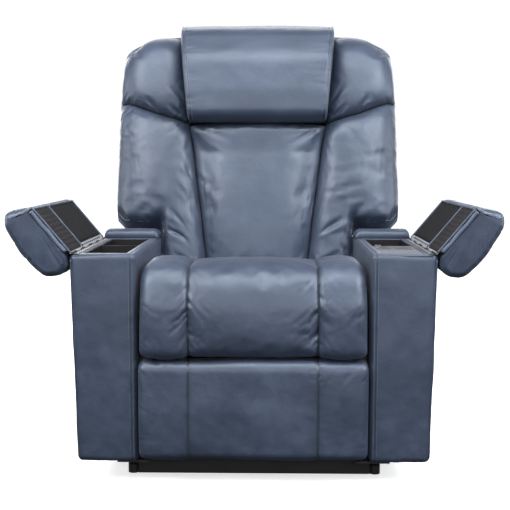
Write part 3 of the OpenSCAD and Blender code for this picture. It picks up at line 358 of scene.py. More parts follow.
def pick(surface, x, t):
    """Points on a loft's surface at the places x and the running lengths t, and their normals."""
    xs, s, P = surface

    def at(x, t):
        u = np.interp(x, xs, np.arange(len(xs)))
        v = np.interp(t, s, np.arange(len(s)))
        i = np.clip(u.astype(int), 0, len(xs) - 2)
        j = np.clip(v.astype(int), 0, len(s) - 2)
        a, b = (u - i)[:, None], (v - j)[:, None]
        return (P[i, j] * (1 - a) * (1 - b) + P[i + 1, j] * a * (1 - b)
                + P[i, j + 1] * (1 - a) * b + P[i + 1, j + 1] * a * b)

    x, t = np.broadcast_arrays(np.asarray(x, float), np.asarray(t, float))
    p = at(x, t)
    n = np.cross(at(x + 2, t) - at(x - 2, t), at(x, t + 2) - at(x, t - 2))
    n /= np.linalg.norm(n, axis=1)[:, None] + 1e-9
    return p, n


def thread(name, body, lines, material, pitch=5.5, length=3.4, r=0.55, rise=0.35):
    """Stitches along polylines, each given as its points and their normals, or one normal for all."""
    verts, faces = [], []
    for pts, nrm in lines:
        s, nrm = run_length(pts), np.broadcast_to(nrm, pts.shape)
        for t in np.arange(pitch / 2, s[-1] - pitch / 2, pitch):
            c, n = read_at(t, s, pts), read_at(t, s, nrm)
            a, b = read_at(t - length / 2, s, pts), read_at(t + length / 2, s, pts)
            n /= np.linalg.norm(n) + 1e-9
            d = (b - a) / (np.linalg.norm(b - a) + 1e-9)
            e = np.cross(d, n)
            base = len(verts)
            for q, h, k in ((-0.5, -0.6, 0.3), (-0.32, 0.7, 0.9), (0.32, 0.7, 0.9), (0.5, -0.6, 0.3)):
                o = c + d * q * length + n * (h * rise)
                for ang in range(6):
                    w = math.radians(60 * ang)
                    verts.append(o + r * k * (math.cos(w) * e + math.sin(w) * n * 0.8))
            for i in range(3):
                a, b = base + i * 6, base + (i + 1) * 6
                faces += [(a + j, a + (j + 1) % 6, b + (j + 1) % 6, b + j) for j in range(6)]
            faces += [tuple(base + 5 - j for j in range(6)), tuple(base + 18 + j for j in range(6))]
    return mesh_object(name, np.array(verts), faces, material, body)


def tube(name, body, lines, r, material, sides=10):
    """Round cord along polylines in millimetres, such as a piping."""
    verts, faces = [], []
    for pts in lines:
        pts = np.asarray(pts, float)
        d = np.gradient(pts, axis=0)
        d /= np.linalg.norm(d, axis=1)[:, None]
        up = np.array([0.3, 0.2, 1.0])
        base = len(verts)
        for p, t in zip(pts, d):
            e = np.cross(t, up)
            e /= np.linalg.norm(e)
            up = np.cross(e, t)
            for k in range(sides):
                w = 2 * math.pi * k / sides
                verts.append(p + r * (math.cos(w) * e + math.sin(w) * up))
        faces += grid_faces(len(pts), sides, base, wrap=True)
        faces += [tuple(range(base, base + sides)), tuple(range(len(verts) - 1, len(verts) - sides - 1, -1))]
    ob = mesh_object(name, np.array(verts), faces, material, body)
    fix_normals(ob)
    return ob


def softbox(name, body, gx, gy, gz, round_at, shape, hole=None, shade_and_tone=None):
    """Leather skin of a box on the grid lines gx, gy, gz. round_at(v) gives the edge radius at
    points v of the box, and shape(p, n, v) moves the rounded points p with normals n. hole(x, y)
    leaves a top face out."""
    index, verts = {}, []

    def vid(i, j, k):
        if (i, j, k) not in index:
            index[(i, j, k)] = len(verts)
            verts.append((gx[i], gy[j], gz[k]))
        return index[(i, j, k)]
    cells = nx, ny, nz = len(gx) - 1, len(gy) - 1, len(gz) - 1
    turns = ((0, 0), (0, 1), (1, 1), (1, 0)), ((0, 0), (1, 0), (1, 1), (0, 1))
    faces = []
    top = np.ones((nx, ny), bool)
    for axis, (u, v) in enumerate(((1, 2), (0, 2), (0, 1))):
        for a, b in np.ndindex(cells[u], cells[v]):
            for far in (0, 1):
                if far and axis == 2 and hole and hole((gx[a] + gx[a + 1]) / 2, (gy[b] + gy[b + 1]) / 2):
                    top[a, b] = False
                    continue
                corner = np.zeros(3, int)
                corner[axis] = far * cells[axis]
                face = []
                for du, dv in turns[far ^ (axis == 1)]:
                    corner[u], corner[v] = a + du, b + dv
                    face.append(vid(*corner.tolist()))
                faces.append(face)
    v = np.array(verts, float)
    lo, hi = v.min(0), v.max(0)
    r = round_at(v)[:, None]
    inner = np.clip(v, lo + r, hi - r)
    d = v - inner
    L = np.linalg.norm(d, axis=1)[:, None]
    n = d / np.maximum(L, 1e-9)
    p = inner + n * r
    p = shape(p, n, v)
    tn = shade_and_tone(p, n, v) if shade_and_tone else np.zeros(len(v))
    if hole:
        extra, extra_t, below = [], [], {}

        def low(a):
            if a not in below:
                below[a] = len(p) + len(extra)
                extra.append(p[a] - [0, 0, 14])
                # painted shade: the hole's walls darker than the rim above them
                extra_t.append(tn[a] - 0.3)
            return below[a]
        for i in range(nx):
            for j in range(ny):
                if top[i, j]:
                    continue
                for di, dj, a, b in ((-1, 0, (i, j), (i, j + 1)), (1, 0, (i + 1, j + 1), (i + 1, j)),
                                     (0, -1, (i + 1, j), (i, j)), (0, 1, (i, j + 1), (i + 1, j + 1))):
                    if top[min(max(i + di, 0), nx - 1), min(max(j + dj, 0), ny - 1)]:
                        va, vb = vid(*a, nz), vid(*b, nz)
                        faces.append([va, vb, low(vb), low(va)])
        p = np.vstack([p, np.array(extra)])
        tn = np.concatenate([tn, extra_t])
    ob = mesh_object(name, p, faces, BLUE, body, tn)
    fix_normals(ob)
    return ob


def lines(lo, hi, step, at=()):
    """Grid lines from lo to hi, with every place in at among them, closer near both ends."""
    base = {lo, hi, *at}
    for e in (lo, hi):
        s = 1 if e == lo else -1
        for d in (2, 4.5, 7.5, 11, 15, 20, 26):
            base.add(round(e + s * d, 3))
    return filled(base, lo, hi, step, 1.2, (*at, hi))


# ------------------------------------------------------------ materials

def ramp(tree, value, stops):
    """Colour over a value; each stop is a place and a colour."""
    node = tree.nodes.new("ShaderNodeValToRGB")
    e = node.color_ramp.elements
    while len(e) < len(stops):
        e.new(0.5)
    for k, (at, col) in enumerate(stops):
        e[k].position = at
        e[k].color = (*col, 1)
    tree.links.new(value, node.inputs["Fac"])
    return node.outputs["Color"]


def math_node(tree, op, a, b):
    node = tree.nodes.new("ShaderNodeMath")
    node.operation = op
    for k, v in enumerate((a, b)):
        if isinstance(v, (int, float)):
            node.inputs[k].default_value = v
        else:
            tree.links.new(v, node.inputs[k])
    return node.outputs[0]


def shade(col, k):
    return tuple(min(1, k * x) for x in col)


class Surface:
    """A material whose textures lie in object coordinates."""

    def __init__(self, name):
        self.material = bpy.data.materials.new(name)
        self.material.use_nodes = True
        self.tree = self.material.node_tree
        self.shader = self.tree.nodes["Principled BSDF"].inputs
        self.at = self.node("ShaderNodeTexCoord").outputs["Object"]

    def node(self, kind, source=None, **values):
        """A node with these input values, and source linked to its vector input."""
        node = self.tree.nodes.new(kind)
        for key, value in values.items():
            node.inputs[key].default_value = value
        if source is not None:
            self.tree.links.new(source, node.inputs["Vector"])
        return node

    def noise(self, scale, detail=3.0, rough=0.5, stretch=None):
        at = self.node("ShaderNodeMapping", self.at, Scale=stretch).outputs["Vector"] if stretch else self.at
        return self.node("ShaderNodeTexNoise", at, Scale=scale, Detail=detail, Roughness=rough).outputs["Fac"]

    def weighted(self, *parts):
        """Sum of values, each given with its weight."""
        total = None
        for value, weight in parts:
            part = math_node(self.tree, "MULTIPLY", value, weight)
            total = part if total is None else math_node(self.tree, "ADD", total, part)
        return total

    def paint(self, value, *stops):
        self.tree.links.new(ramp(self.tree, value, stops), self.shader["Base Color"])

    def gloss(self, value, *stops):
        """Roughness over a value; each stop is a place and a roughness."""
        stops = [(at, (rough,) * 3) for at, rough in stops]
        self.tree.links.new(ramp(self.tree, value, stops), self.shader["Roughness"])

    def set(self, **values):
        for key, value in values.items():
            self.shader[key.replace("_", " ")].default_value = value

    def bumps(self, *layers):
        """Bump nodes in a row; each layer is (height, strength, distance in metres)."""
        normal = None
        for height, strength, distance in layers:
            node = self.node("ShaderNodeBump", Strength=strength, Distance=distance)
            self.tree.links.new(height, node.inputs["Height"])
            if normal is not None:
                self.tree.links.new(normal, node.inputs["Normal"])
            normal = node.outputs["Normal"]
        self.tree.links.new(normal, self.shader["Normal"])
        return self.material


def leather(name, dark, mid, light, rough):
    s = Surface(name)
    cloud, patch, fine = s.noise(5.5, 4.0, 0.55), s.noise(38.0, 3.0, 0.6), s.noise(210.0, 3.0, 0.65)
    # per-vertex tint of the mesh: random tone, and painted shade at seams, panel edges and recesses
    shade_and_tone = s.node("ShaderNodeAttribute")
    shade_and_tone.attribute_name = "shade_and_tone"
    value = s.weighted((cloud, 0.60), (patch, 0.22), (fine, 0.18), (shade_and_tone.outputs["Fac"], 0.22))
    s.paint(value, (0.30, dark), (0.52, mid), (0.80, light))
    s.gloss(patch, (0.3, rough - 0.05), (0.7, rough + 0.07))
    s.set(Specular_IOR_Level=0.9, Specular_Tint=(0.76, 0.86, 1.0, 1), Sheen_Weight=0.05)
    s.set(Coat_Weight=0.20, Coat_Roughness=0.40, Coat_Tint=(0.88, 0.93, 1.0, 1))
    grain = s.node("ShaderNodeTexVoronoi", s.at, Scale=620)
    grain.feature = "SMOOTH_F1"
    return s.bumps((s.noise(26), 0.16, 0.008), (grain.outputs["Distance"], 0.30, 0.0005),
                   (s.noise(1500, 2.0), 0.12, 0.0003))


def plastic(name, col, rough, spec=0.5):
    s = Surface(name)
    s.paint(s.noise(14.0), (0.3, shade(col, 0.88)), (0.7, shade(col, 1.1)))
    matt = s.noise(900.0, 2.0)
    s.gloss(matt, (0.3, rough - 0.06), (0.7, rough + 0.08))
    s.set(Specular_IOR_Level=spec)
    return s.bumps((matt, 0.25, 0.0003))


def metal(name, col, rough, metallic, scuff=0.15, stretch=(1, 1, 1)):
    s = Surface(name)
    s.paint(s.noise(9.0, 5.0, 0.6), (0.35, shade(col, 1 - scuff)), (0.72, shade(col, 1 + scuff)))
    brushed = s.noise(220, 4.0, 0.6, stretch)
    s.gloss(brushed, (0.3, rough - 0.08), (0.75, rough + 0.12))
    s.set(Metallic=metallic)
    return s.bumps((brushed, 0.12, 0.0003))


def wood(name, brightness=1.0):
    s = Surface(name)
    s.paint(s.noise(3.0, 5.0, 0.6, (14, 1.2, 14)), (0.3, shade((0.42, 0.27, 0.14), brightness)),
            (0.55, shade((0.56, 0.39, 0.22), brightness)), (0.75, shade((0.66, 0.49, 0.30), brightness)))
    s.set(Roughness=0.62)
    return s.bumps((s.noise(160, 3.0, 0.6, (3, 0.3, 3)), 0.3, 0.0006))


def cloth(name, col, scale, rough=0.85):
    s = Surface(name)
    waves = []
    for axis in ("X", "Y"):
        w = s.node("ShaderNodeTexWave", s.at, Scale=scale, Distortion=0.6)
        w.wave_type = "BANDS"
        w.bands_direction = axis
        waves.append(w.outputs["Fac"])
    weave = math_node(s.tree, "MULTIPLY", *waves)
    s.paint(s.weighted((weave, 0.5), (s.noise(30), 0.5)), (0.2, shade(col, 0.7)), (0.8, shade(col, 1.35)))
    s.set(Roughness=rough, Specular_IOR_Level=0.25)
    return s.bumps((weave, 0.35, 0.0006))


BLUE = leather("leather_blue", (0.012, 0.019, 0.036), (0.023, 0.034, 0.061), (0.046, 0.064, 0.107), 0.49)
BLUE_DARK = leather("leather_blue_edge", (0.010, 0.016, 0.031), (0.020, 0.029, 0.051), (0.038, 0.052, 0.086),
                    0.48)
THREAD = cloth("thread_blue", (0.16, 0.19, 0.27), 900, 0.6)
STEEL = metal("steel_black", (0.022, 0.022, 0.024), 0.42, 0.0)
ZINC = metal("zinc", (0.60, 0.60, 0.62), 0.34, 1.0, 0.1, (1, 8, 1))
BLACK = plastic("plastic_black", (0.020, 0.020, 0.022), 0.48)
GREY = plastic("plastic_grey", (0.135, 0.14, 0.155), 0.34)
LEAF = metal("leaf_grey", (0.42, 0.43, 0.46), 0.42, 0.5, 0.08)
TRAY = plastic("tray_grey", (0.011, 0.010, 0.012), 0.55, spec=0.15)
WOOD = wood("plywood")
# plywood darkened to near black, for the frames that show in the gaps between the covers
DARK_PLYWOOD = wood("plywood_darkened", 0.08)
WEB = cloth("webbing_grey", (0.060, 0.060, 0.068), 260)
RIB = cloth("ribbed_black", (0.016, 0.015, 0.016), 700)
LINING = cloth("lining_black", (0.007, 0.007, 0.008), 520)

looks = (
    (ZINC, "lift_rod legrest_rod recline_rod arm_bolts seat_springs headrest_leaf headrest_frame_leaf"),
    (LEAF, "lid_left_leaf lid_right_leaf"),
    (BLACK, "base_feet control_box lift_motor legrest_motor recline_motor"),
    (TRAY, "arm_left_tray arm_right_tray"),
    (GREY, "cup_holder cup_tabs power_inlet"),
    (DARK_PLYWOOD, "seat_box arm_left_frame arm_right_frame back_frame"),
    (WOOD, "legrest_board"),
    (WEB, "back_webbing"),
    (LINING, "lid_left_board lid_right_board"),
)
look_of = {name: look for look, names in looks for name in names.split()}
for name, ob in nodes.items():
    for slot in ob.material_slots:
        slot.material = look_of.get(name, STEEL)


# ------------------------------------------------------------ stage, camera and light

bpy.ops.mesh.primitive_plane_add(size=30, location=(0, 0, 0))
floor = bpy.context.object
floor.name = "floor"
white = Surface("floor_white")
white.set(Base_Color=(0.86, 0.86, 0.87, 1), Emission_Color=(1, 1, 1, 1))
white.set(Roughness=0.9, Specular_IOR_Level=0.1)
far = white.node("ShaderNodeVectorMath", white.at)
far.operation = "LENGTH"
fade = white.node("ShaderNodeMapRange", **{"From Min": 0.5, "From Max": 1.6, "To Min": 0.62, "To Max": 1.0})
white.tree.links.new(far.outputs["Value"], fade.inputs["Value"])
white.tree.links.new(fade.outputs["Result"], white.shader["Emission Strength"])
floor.data.materials.append(white.material)
floor.visible_diffuse = False
floor.visible_glossy = False

bpy.ops.mesh.primitive_uv_sphere_add(radius=16, segments=48, ring_count=24, location=(0, 0, 0))
backdrop = bpy.context.object
backdrop.name = "backdrop"
glare = bpy.data.materials.new("backdrop_white")
glare.use_nodes = True
bn = glare.node_tree.nodes
bn.clear()
glow = bn.new("ShaderNodeEmission")
glow.inputs["Color"].default_value = (1, 1, 1, 1)
glow.inputs["Strength"].default_value = 1.02
glare.node_tree.links.new(glow.outputs["Emission"], bn.new("ShaderNodeOutputMaterial").inputs["Surface"])
backdrop.data.materials.append(glare)
for flag in ("diffuse", "glossy", "transmission", "volume_scatter", "shadow"):
    setattr(backdrop, "visible_" + flag, False)

world = bpy.data.worlds.new("studio")
scene.world = world
world.use_nodes = True
sky = world.node_tree
split = sky.nodes.new("ShaderNodeSeparateXYZ")
sky.links.new(sky.nodes.new("ShaderNodeTexCoord").outputs["Generated"], split.inputs[0])
height = math_node(sky, "ADD", math_node(sky, "MULTIPLY", split.outputs["Z"], 0.5), 0.5)
grey = ramp(sky, height, [(0.0, (0.10, 0.10, 0.11)), (0.50, (0.14, 0.15, 0.17)), (0.62, (0.34, 0.35, 0.38)),
                          (0.95, (0.80, 0.81, 0.84))])
sky.links.new(grey, sky.nodes["Background"].inputs["Color"])
sky.nodes["Background"].inputs["Strength"].default_value = 0.48


LIGHTS = (  # name, place, aim, width, height, power, colour
    ("key_left", (-1.75, -1.55, 2.15), (0, 0, 0.75), 1.1, 1.7, 78, (1.0, 0.99, 0.975)),
    ("key_right", (1.85, -1.45, 2.15), (0, 0, 0.75), 1.1, 1.7, 83, (0.98, 0.99, 1.0)),
    ("front_fill", (0.2, -3.2, 1.0), (0, -0.3, 0.3), 2.4, 0.9, 28, (1, 1, 1)),
    ("top", (0.0, -1.2, 2.7), (0, -0.35, 0.45), 1.3, 0.8, 42, (1, 1, 1)),
    ("back_top", (0.0, 2.2, 2.6), (0, 0, 0.8), 2.0, 1.0, 24, (1, 1, 1)),
    ("back_left", (-1.8, 3.0, 1.5), (0, 0.3, 0.6), 1.4, 1.6, 62, (1, 1, 1)),
    ("back_right", (2.0, 3.0, 1.4), (0, 0.3, 0.6), 1.4, 1.6, 50, (1, 1, 1)),
    ("side_left", (-3.4, 0.2, 1.1), (0, 0, 0.5), 1.4, 1.4, 34, (1, 1, 1)),
    ("side_right", (3.4, 0.2, 1.1), (0, 0, 0.5), 1.4, 1.4, 34, (1, 1, 1)),
)
for name, at, aim, width, height, power, color in LIGHTS:
    lamp = bpy.data.lights.new(name, "AREA")
    lamp.shape = "RECTANGLE"
    lamp.size, lamp.size_y = width, height
    lamp.energy, lamp.color = power, color
    ob = bpy.data.objects.new(name, lamp)
    scene.collection.objects.link(ob)
    ob.location = at
    ob.rotation_euler = (Vector(aim) - Vector(at)).to_track_quat("-Z", "Y").to_euler()

cam = bpy.data.cameras.new("camera")
cam.sensor_width = 36.0
cam.lens = 66.35
cam.clip_end = 100
camera = bpy.data.objects.new("camera", cam)
scene.collection.objects.link(camera)
camera.location = (0.049, (-2220 + FRONT) / 1000, 0.790)      # the photo's own view
camera.rotation_euler = (math.radians(90 - 5.85), 0, math.radians(1.146))
scene.camera = camera
scene.view_settings.view_transform = "Standard"
scene.view_settings.look = "None"
scene.view_settings.exposure = 0.0


# ------------------------------------------------------------ seat and legrest

def three_parts(x, half, mid, side):
    """Swell of a cushion sewn in three sections, falling to nothing at its seams."""
    m = unit(1 - (x / SEAM_X) ** 2)
    e = unit(1 - ((np.abs(x) - (SEAM_X + half) / 2) / ((half - SEAM_X) / 2)) ** 2)
    return np.where(np.abs(x) < SEAM_X, mid * m ** 0.5, side * e ** 0.5)


def end_round(x, half, r):
    e = np.clip(np.abs(x) - half + r, 0, r) / r
    return r * (1 - np.sqrt(unit(1 - e * e)))


seat_half = ARM_IN - 8.0
seat_over = bent([[30, 313], [-20, 314], [-25, 440], [10, 536], [150, 539], [330, 509], [495, 500]],
                 [0, 24, 64, 74, 90, 200, 0])


def seat_lift(x, s, total):
    out = three_parts(x, seat_half, 4.0, 10.0) - 5.0
    front = bump(s - 130, 120)
    for k, seam in enumerate(SEAMS):
        a = np.abs(x - seam)
        out -= 2.6 * bump(a, 1.6) + 2.4 * bump(a, 7.0)
        out -= 7.5 * creases(s, a, 3.1 + 5 * k + 1.7 * np.sign(x - seam), 16, 34, 1.1) * (0.25 + 0.75 * front)
    e = seat_half - np.abs(x)
    out -= 11.0 * creases(s, e, 21.3 + np.sign(x) * 3, 20, 46, 0.9) * (0.2 + 0.8 * front)
    out -= 3.0 * creases(x, s, 27.0, 30, 34) + 2.0 * creases(x, total - s, 29.0, 40, 60)
    out += 2.6 * noise(x / 95, s / 80, 4.4) + 1.3 * noise(x / 38, s / 34, 8.8)
    return out


# painted shade: the leather darker in the dips at the seams of the seat and the legrest, with a random tint
def seam_shade_and_tone(x, s):
    a = np.abs(x) - SEAM_X
    return -1.3 * bump(a, 3.0) - 0.5 * bump(a, 12) + 0.25 * noise(x / 60, s / 60, 2.0)


def seat_inset(x, s):
    return end_round(x, seat_half, 26) * (0.3 + 0.7 * unit((s - 60) / 90))


seat, _ = loft("seat_cushion_skin", "chassis", seat_over, [(495, 398.3), (45.7, 398.3), (45.7, 314)], 1,
               stations(seat_half, SEAMS, 26, 5.5), xyz, seat_inset, seat_lift, 150, seam_shade_and_tone,
               (SEAMS, 9.0, 1.0, 0.08))
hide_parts("seat_cushion")

leg_half = ARM_IN - 4.0
leg_over = bent([[42, 66], [20, 62], [-22, 65], [-24, 184], [-22, 306], [20, 309.5], [42, 303]],
                [0, 8, 20, 300, 26, 12, 0])


def leg_lift(x, s, total):
    out = three_parts(x, leg_half, 1.0, 1.2) - 1.0
    for k, seam in enumerate(SEAMS):
        a = np.abs(x - seam)
        out -= 1.6 * bump(a, 1.3) + 0.5 * bump(a, 7.0)
        out -= 2.0 * creases(s, a, 41.1 + 5 * k + np.sign(x - seam), 20, 20, 0.3) * bump(s - total + 60, 50)
    e = leg_half - np.abs(x)
    out -= 6.0 * creases(s, e, 61.3 + np.sign(x) * 3, 24, 58, 1.3) * bump(s - total + 80, 60)
    out -= 2.0 * creases(s, e, 71.3 + np.sign(x) * 3, 34, 26, 0.2)
    top = np.clip(total - 36 - s, 0, None)
    outward = np.clip((np.abs(x) - 100) / 70, 0.12, 1)
    out -= 3.5 * creases(x, top, 81.0, 30, 40) * bump(top - 16, 46) * outward
    out -= 2.2 * creases(x, np.clip(s - 40, 0, None), 87.0, 34, 22)
    out += 5.5 * noise(x / 110, s / 130, 14.4) + 1.6 * noise(x / 46, s / 60, 18.8)
    return out


legrest, _ = loft("legrest_skin", "legrest", leg_over, [(42, 184)], 0, stations(leg_half, SEAMS, 16, 6.0),
                  xyz, lambda x, s: end_round(x, leg_half, 16), leg_lift, 96, seam_shade_and_tone)
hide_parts("legrest_pad")


# ------------------------------------------------------------ back

BOLSTER_HALF = 202.0                       # the bolster's half width at s = 480


def bolster_x(s):
    return BOLSTER_HALF * (1 + 0.00047 * (s - 480))


def coons(bottom, top, left, right):
    """Grid of points between four curves; bottom and top run from left to right."""
    u = np.linspace(0, 1, len(bottom))[:, None, None]
    v = np.linspace(0, 1, len(left))[None, :, None]
    b, t, l, r = bottom[:, None], top[:, None], left[None], right[None]
    corners = ((1 - u) * (1 - v) * bottom[0] + u * (1 - v) * bottom[-1]
               + (1 - u) * v * top[0] + u * v * top[-1])
    return (1 - v) * b + v * t + (1 - u) * l + u * r - corners


def graded(p, n, k=2.4):
    """A curve with n points, closer at both ends."""
    q = spaced(p, 400)
    t = np.linspace(-1, 1, n)
    t = np.tanh(k * t) / np.tanh(k)
    return read_at((t + 1) / 2 * 399, np.arange(400), q)


def edge_distance(P, curve):
    """Distance of each point of P to a polyline."""
    q = spaced(curve, 120)
    flat = P.reshape(-1, 2)
    out = np.full(len(flat), 1e9)
    for a, b in zip(q[:-1], q[1:]):
        d = b - a
        t = unit(((flat - a) @ d) / (d @ d))
        out = np.minimum(out, np.linalg.norm(flat - a - t[:, None] * d, axis=1))
    return out.reshape(P.shape[:2])


def rounding(d, r):
    """Share of an edge's drop at the distance d from it: 1 at the edge, 0 from r on."""
    t = unit(d / r)
    return 1 - np.sqrt(unit(1 - (1 - t) ** 2))


PANEL_FOOT = 42.5                          # where the panels rest on the back's frame
grids = {}


def panel(name, sides, edges, height, relief, mirror, n):
    """Padded panel of the back. sides are its bottom, top, left and right curves in (x, s); edges
    gives each one's drop and rounding radius; height(x, s) is its face and relief its folds."""
    bottom, top, left, right = sides
    G = coons(graded(bottom, n[0]), graded(top, n[0]), graded(left, n[1]), graded(right, n[1]))
    x, s = G[..., 0], G[..., 1]
    h = height(x, s)
    ds = []
    for e, c in zip(edges, sides):
        drop, r = e(s) if callable(e) else e
        d = edge_distance(G, c)
        ds.append(d)
        h = h - drop * rounding(d, r)
    h = h + relief(x, s, ds)
    h = np.maximum(h, PANEL_FOOT + 1.5)
    X = -x if mirror else x
    P = on_back(X, s, h)
    nu, nv = n
    rim, sides_and_foot = skirt(nu, nv)
    foot = on_back(X.reshape(-1)[rim], s.reshape(-1)[rim], PANEL_FOOT)
    verts = np.vstack([P.reshape(-1, 3), foot])
    near = np.min(np.array(ds), 0)

    def footed(face, value):
        """The face's values, and this one for the foot's vertices."""
        return np.append(face.reshape(-1), np.full(len(rim), value))

    # painted shade: darker near the panel's edges, where it dives into the seams, and darkest on its sides
    # and foot between the panels; a random tint besides
    tn = footed(-np.exp(-near / 5.0) + 0.25 * noise(x / 60, s / 60, 5.0), -1.0)
    ob = mesh_object(name, verts, grid_faces(nu, nv) + sides_and_foot, BLUE, "back", tn)
    fix_normals(ob)
    free = np.zeros((nu, nv), bool)
    free[2:-2, 2:-2] = True
    room = 9.0 * np.clip(near / 30, 0.1, 1)
    gap = near + 30 * (unit((x - 290) / 60) if x.max() > 400 else 0)
    stuff(ob, footed(free, False), footed(room, 0.0), footed(gap, 99.0), 1.2, 0.055)
    x, y, z = (places(ob, nu * nv) - (0, *HINGE)).T
    grids[name] = np.abs(x), y * SIN + z * COS, z * SIN - y * COS
    return ob


def face_height(name, x, s):
    """Height of a panel's face at the places x, s, read from its nearest vertices."""
    gx, gs, gn = grids[name]
    near = [gn[np.argmin((gx - a) ** 2 + (gs - b) ** 2)] for a, b in zip(x, s)]
    return smooth(np.array(near)[:, None], 3)[:, 0]


def seg(*pts, r=None):
    return bent(list(pts), r or [0] * len(pts))


def lower(a, b, k=14.0):
    """The lower of two heights, with a soft meeting."""
    h = unit(0.5 + 0.5 * (b - a) / k)
    return b + (a - b) * h - k * h * (1 - h)


def folds_at(x, s, folds, seed):
    """Long single folds, each given as x0, s0, x1, s1, depth and width."""
    out = 0.0
    for k, (x0, s0, x1, s1, deep, wide) in enumerate(folds):
        a, b = np.array([x0, s0]), np.array([x1, s1])
        dd = b - a
        L = np.hypot(*dd)
        t = ((x - x0) * dd[0] + (s - s0) * dd[1]) / L ** 2
        across = ((x - x0) * dd[1] - (s - s0) * dd[0]) / L
        across = across + 9 * noise(t * L / 60, k + seed) + 0.10 * L * (t - 0.5) ** 2 * (1 if k % 2 else -1)
        on = unit(1.1 - np.abs(t - 0.5) * 2.1) ** 0.8
        w = wide * (0.6 + 0.5 * unit(t))
        ridge = 0.75 * bump(across - 1.8 * w, 1.5 * w) + 0.4 * bump(across + 1.9 * w, 1.6 * w)
        out = out + deep * on * (ridge - bump(across, w))
    return out


WING = 420.0                               # the wings' outer edge, as x
centre_sides = (
    seg([-145, 0], [0, -6], [145, 0], r=[0, 400, 0]),
    seg([-203, 484], [203, 484]),
    seg([-145, 0], [-147, 80], [-203, 484], r=[0, 300, 0]),
    seg([145, 0], [147, 80], [203, 484], r=[0, 300, 0]))


def centre_height(x, s):
    half = 146 + 0.14 * np.clip(s - 60, 0, None)
    return (78 + 26 * np.sin(unit((s + 20) / 520) * math.pi) ** 0.8
            + 32 * (1 - (x / half) ** 2) + 5 * bump(s - 400, 70) * bump(np.abs(x) - 110, 60)
            + 24 * unit((s - 390) / 80) ** 1.5)


centre_folds = [
    (-60, 30, -135, 10, 5, 6), (-85, 70, -142, 40, 4, 5), (70, 40, 135, 16, 5, 6),
    (40, 14, 95, -2, 3, 5), (-30, 150, -25, 20, 2.5, 14), (40, 130, 30, 20, 2.0, 14),
    (-150, 300, -192, 330, 3, 6), (152, 250, 188, 280, 3, 6)]


def centre_relief(x, s, d):
    out = 3.0 * noise(x / 120, s / 130, 31.0) + 1.2 * noise(x / 45, s / 60, 33.0)
    for k in (2, 3):
        out -= 5.5 * creases(s, d[k], 35.0 + 4 * k, 24, 40, 0.5) * np.clip((440 - s) / 160, 0.1, 1)
    out -= 3.0 * creases(x, d[1], 45.0, 40, 20) + 3.0 * creases(x, d[0], 47.0, 30, 40)
    return out + folds_at(x, s, centre_folds, 49.0)


centre_edges = [(52, 60), (38, 34), (20, 26), (20, 26)]
centre = panel("back_centre_skin", centre_sides, centre_edges, centre_height, centre_relief, False, (84, 100))
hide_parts("back_centre_cushion")

wing_sides = (
    seg([145.5, 0], [278.5, 0]),
    seg([203, 483], [300, 514], [386, 550], [WING - 5, 553], r=[0, 160, 40, 0]),
    seg([145.5, 0], [147.5, 80], [203, 483], r=[0, 300, 0]),
    seg([279.5, 0], [279.5, 164], [330, 166], [WING - 26, 173], [WING, 200], [WING + 1, 246], [WING - 2, 360],
        [WING - 5, 553], r=[0, 8, 40, 12, 14, 60, 400, 0]))
wing_low = seg([276, 176], [300, 172], [332, 168], [WING - 26, 173], [WING, 202], r=[0, 20, 40, 20, 0])


def wing_height(x, s):
    h = 128 - 23 * ((x - 256) / 130) ** 2 - 6 * unit((s - 430) / 100) ** 2 - 12 * unit((200 - s) / 120)
    d = edge_distance(np.stack([x, s], -1), wing_low)
    t = unit((d - 25) / 48)
    band = np.where(d < 25, 44 + 38 * unit(d / 25), 82 + 46 * np.sqrt(1 - (1 - t) ** 2))
    band = band - 4 * bump(d - 25, 2.5)
    use = unit((x - 262) / 26) * unit((330 - s) / 60)
    return use * lower(h, band) + (1 - use) * h


def wing_relief(seed, folds):
    def relief(x, s, d):
        calm = 1 - 0.75 * unit((x - 300) / 50) * unit((290 - s) / 50)
        out = (5.0 * noise(x / 120, s / 120, seed) + 2.2 * noise(x / 50, s / 44, seed + 3)) * calm
        out -= 7.5 * creases(s, d[2], seed + 5, 26, 52, 0.9) * np.clip((440 - s) / 160, 0.25, 1)
        out -= 5.0 * creases(s, d[3], seed + 7, 38, 70, -0.6) * unit((s - 230) / 70)
        out -= 4.0 * creases(x, d[1], seed + 9, 34, 26)
        return out + folds_at(x, s, folds, seed + 11)
    return relief


left_folds = [
    (290, 238, 356, 214, 9, 9), (262, 250, 330, 256, 6, 9), (196, 128, 268, 172, 6, 7),
    (168, 58, 250, 92, 6.5, 7), (160, 22, 236, 44, 6, 7), (214, 180, 262, 220, 5, 7),
    (320, 300, 416, 282, 5, 10), (350, 372, 416, 392, 5, 9), (360, 440, 416, 462, 4, 9),
    (192, 320, 214, 366, 5, 6), (200, 262, 240, 300, 4, 6)]
right_folds = [
    (186, 268, 316, 296, 8, 8), (196, 240, 330, 270, 5, 7), (262, 196, 322, 240, 9, 9),
    (184, 150, 262, 206, 7, 9), (164, 66, 250, 100, 6, 7), (158, 24, 240, 46, 6, 7),
    (236, 120, 276, 96, 6, 7), (330, 240, 412, 226, 6, 9), (350, 330, 416, 348, 4, 9),
    (204, 330, 330, 344, 3.5, 9), (300, 380, 410, 392, 3, 10)]


def wing_side(s):
    up = unit((s - 175) / 40)
    return 20 + 20 * up, 16 + 42 * up


wing_edges = [(58, 40), (28, 50), (34, 46), wing_side]
wing_reliefs = wing_relief(51.0, left_folds), wing_relief(67.0, right_folds)

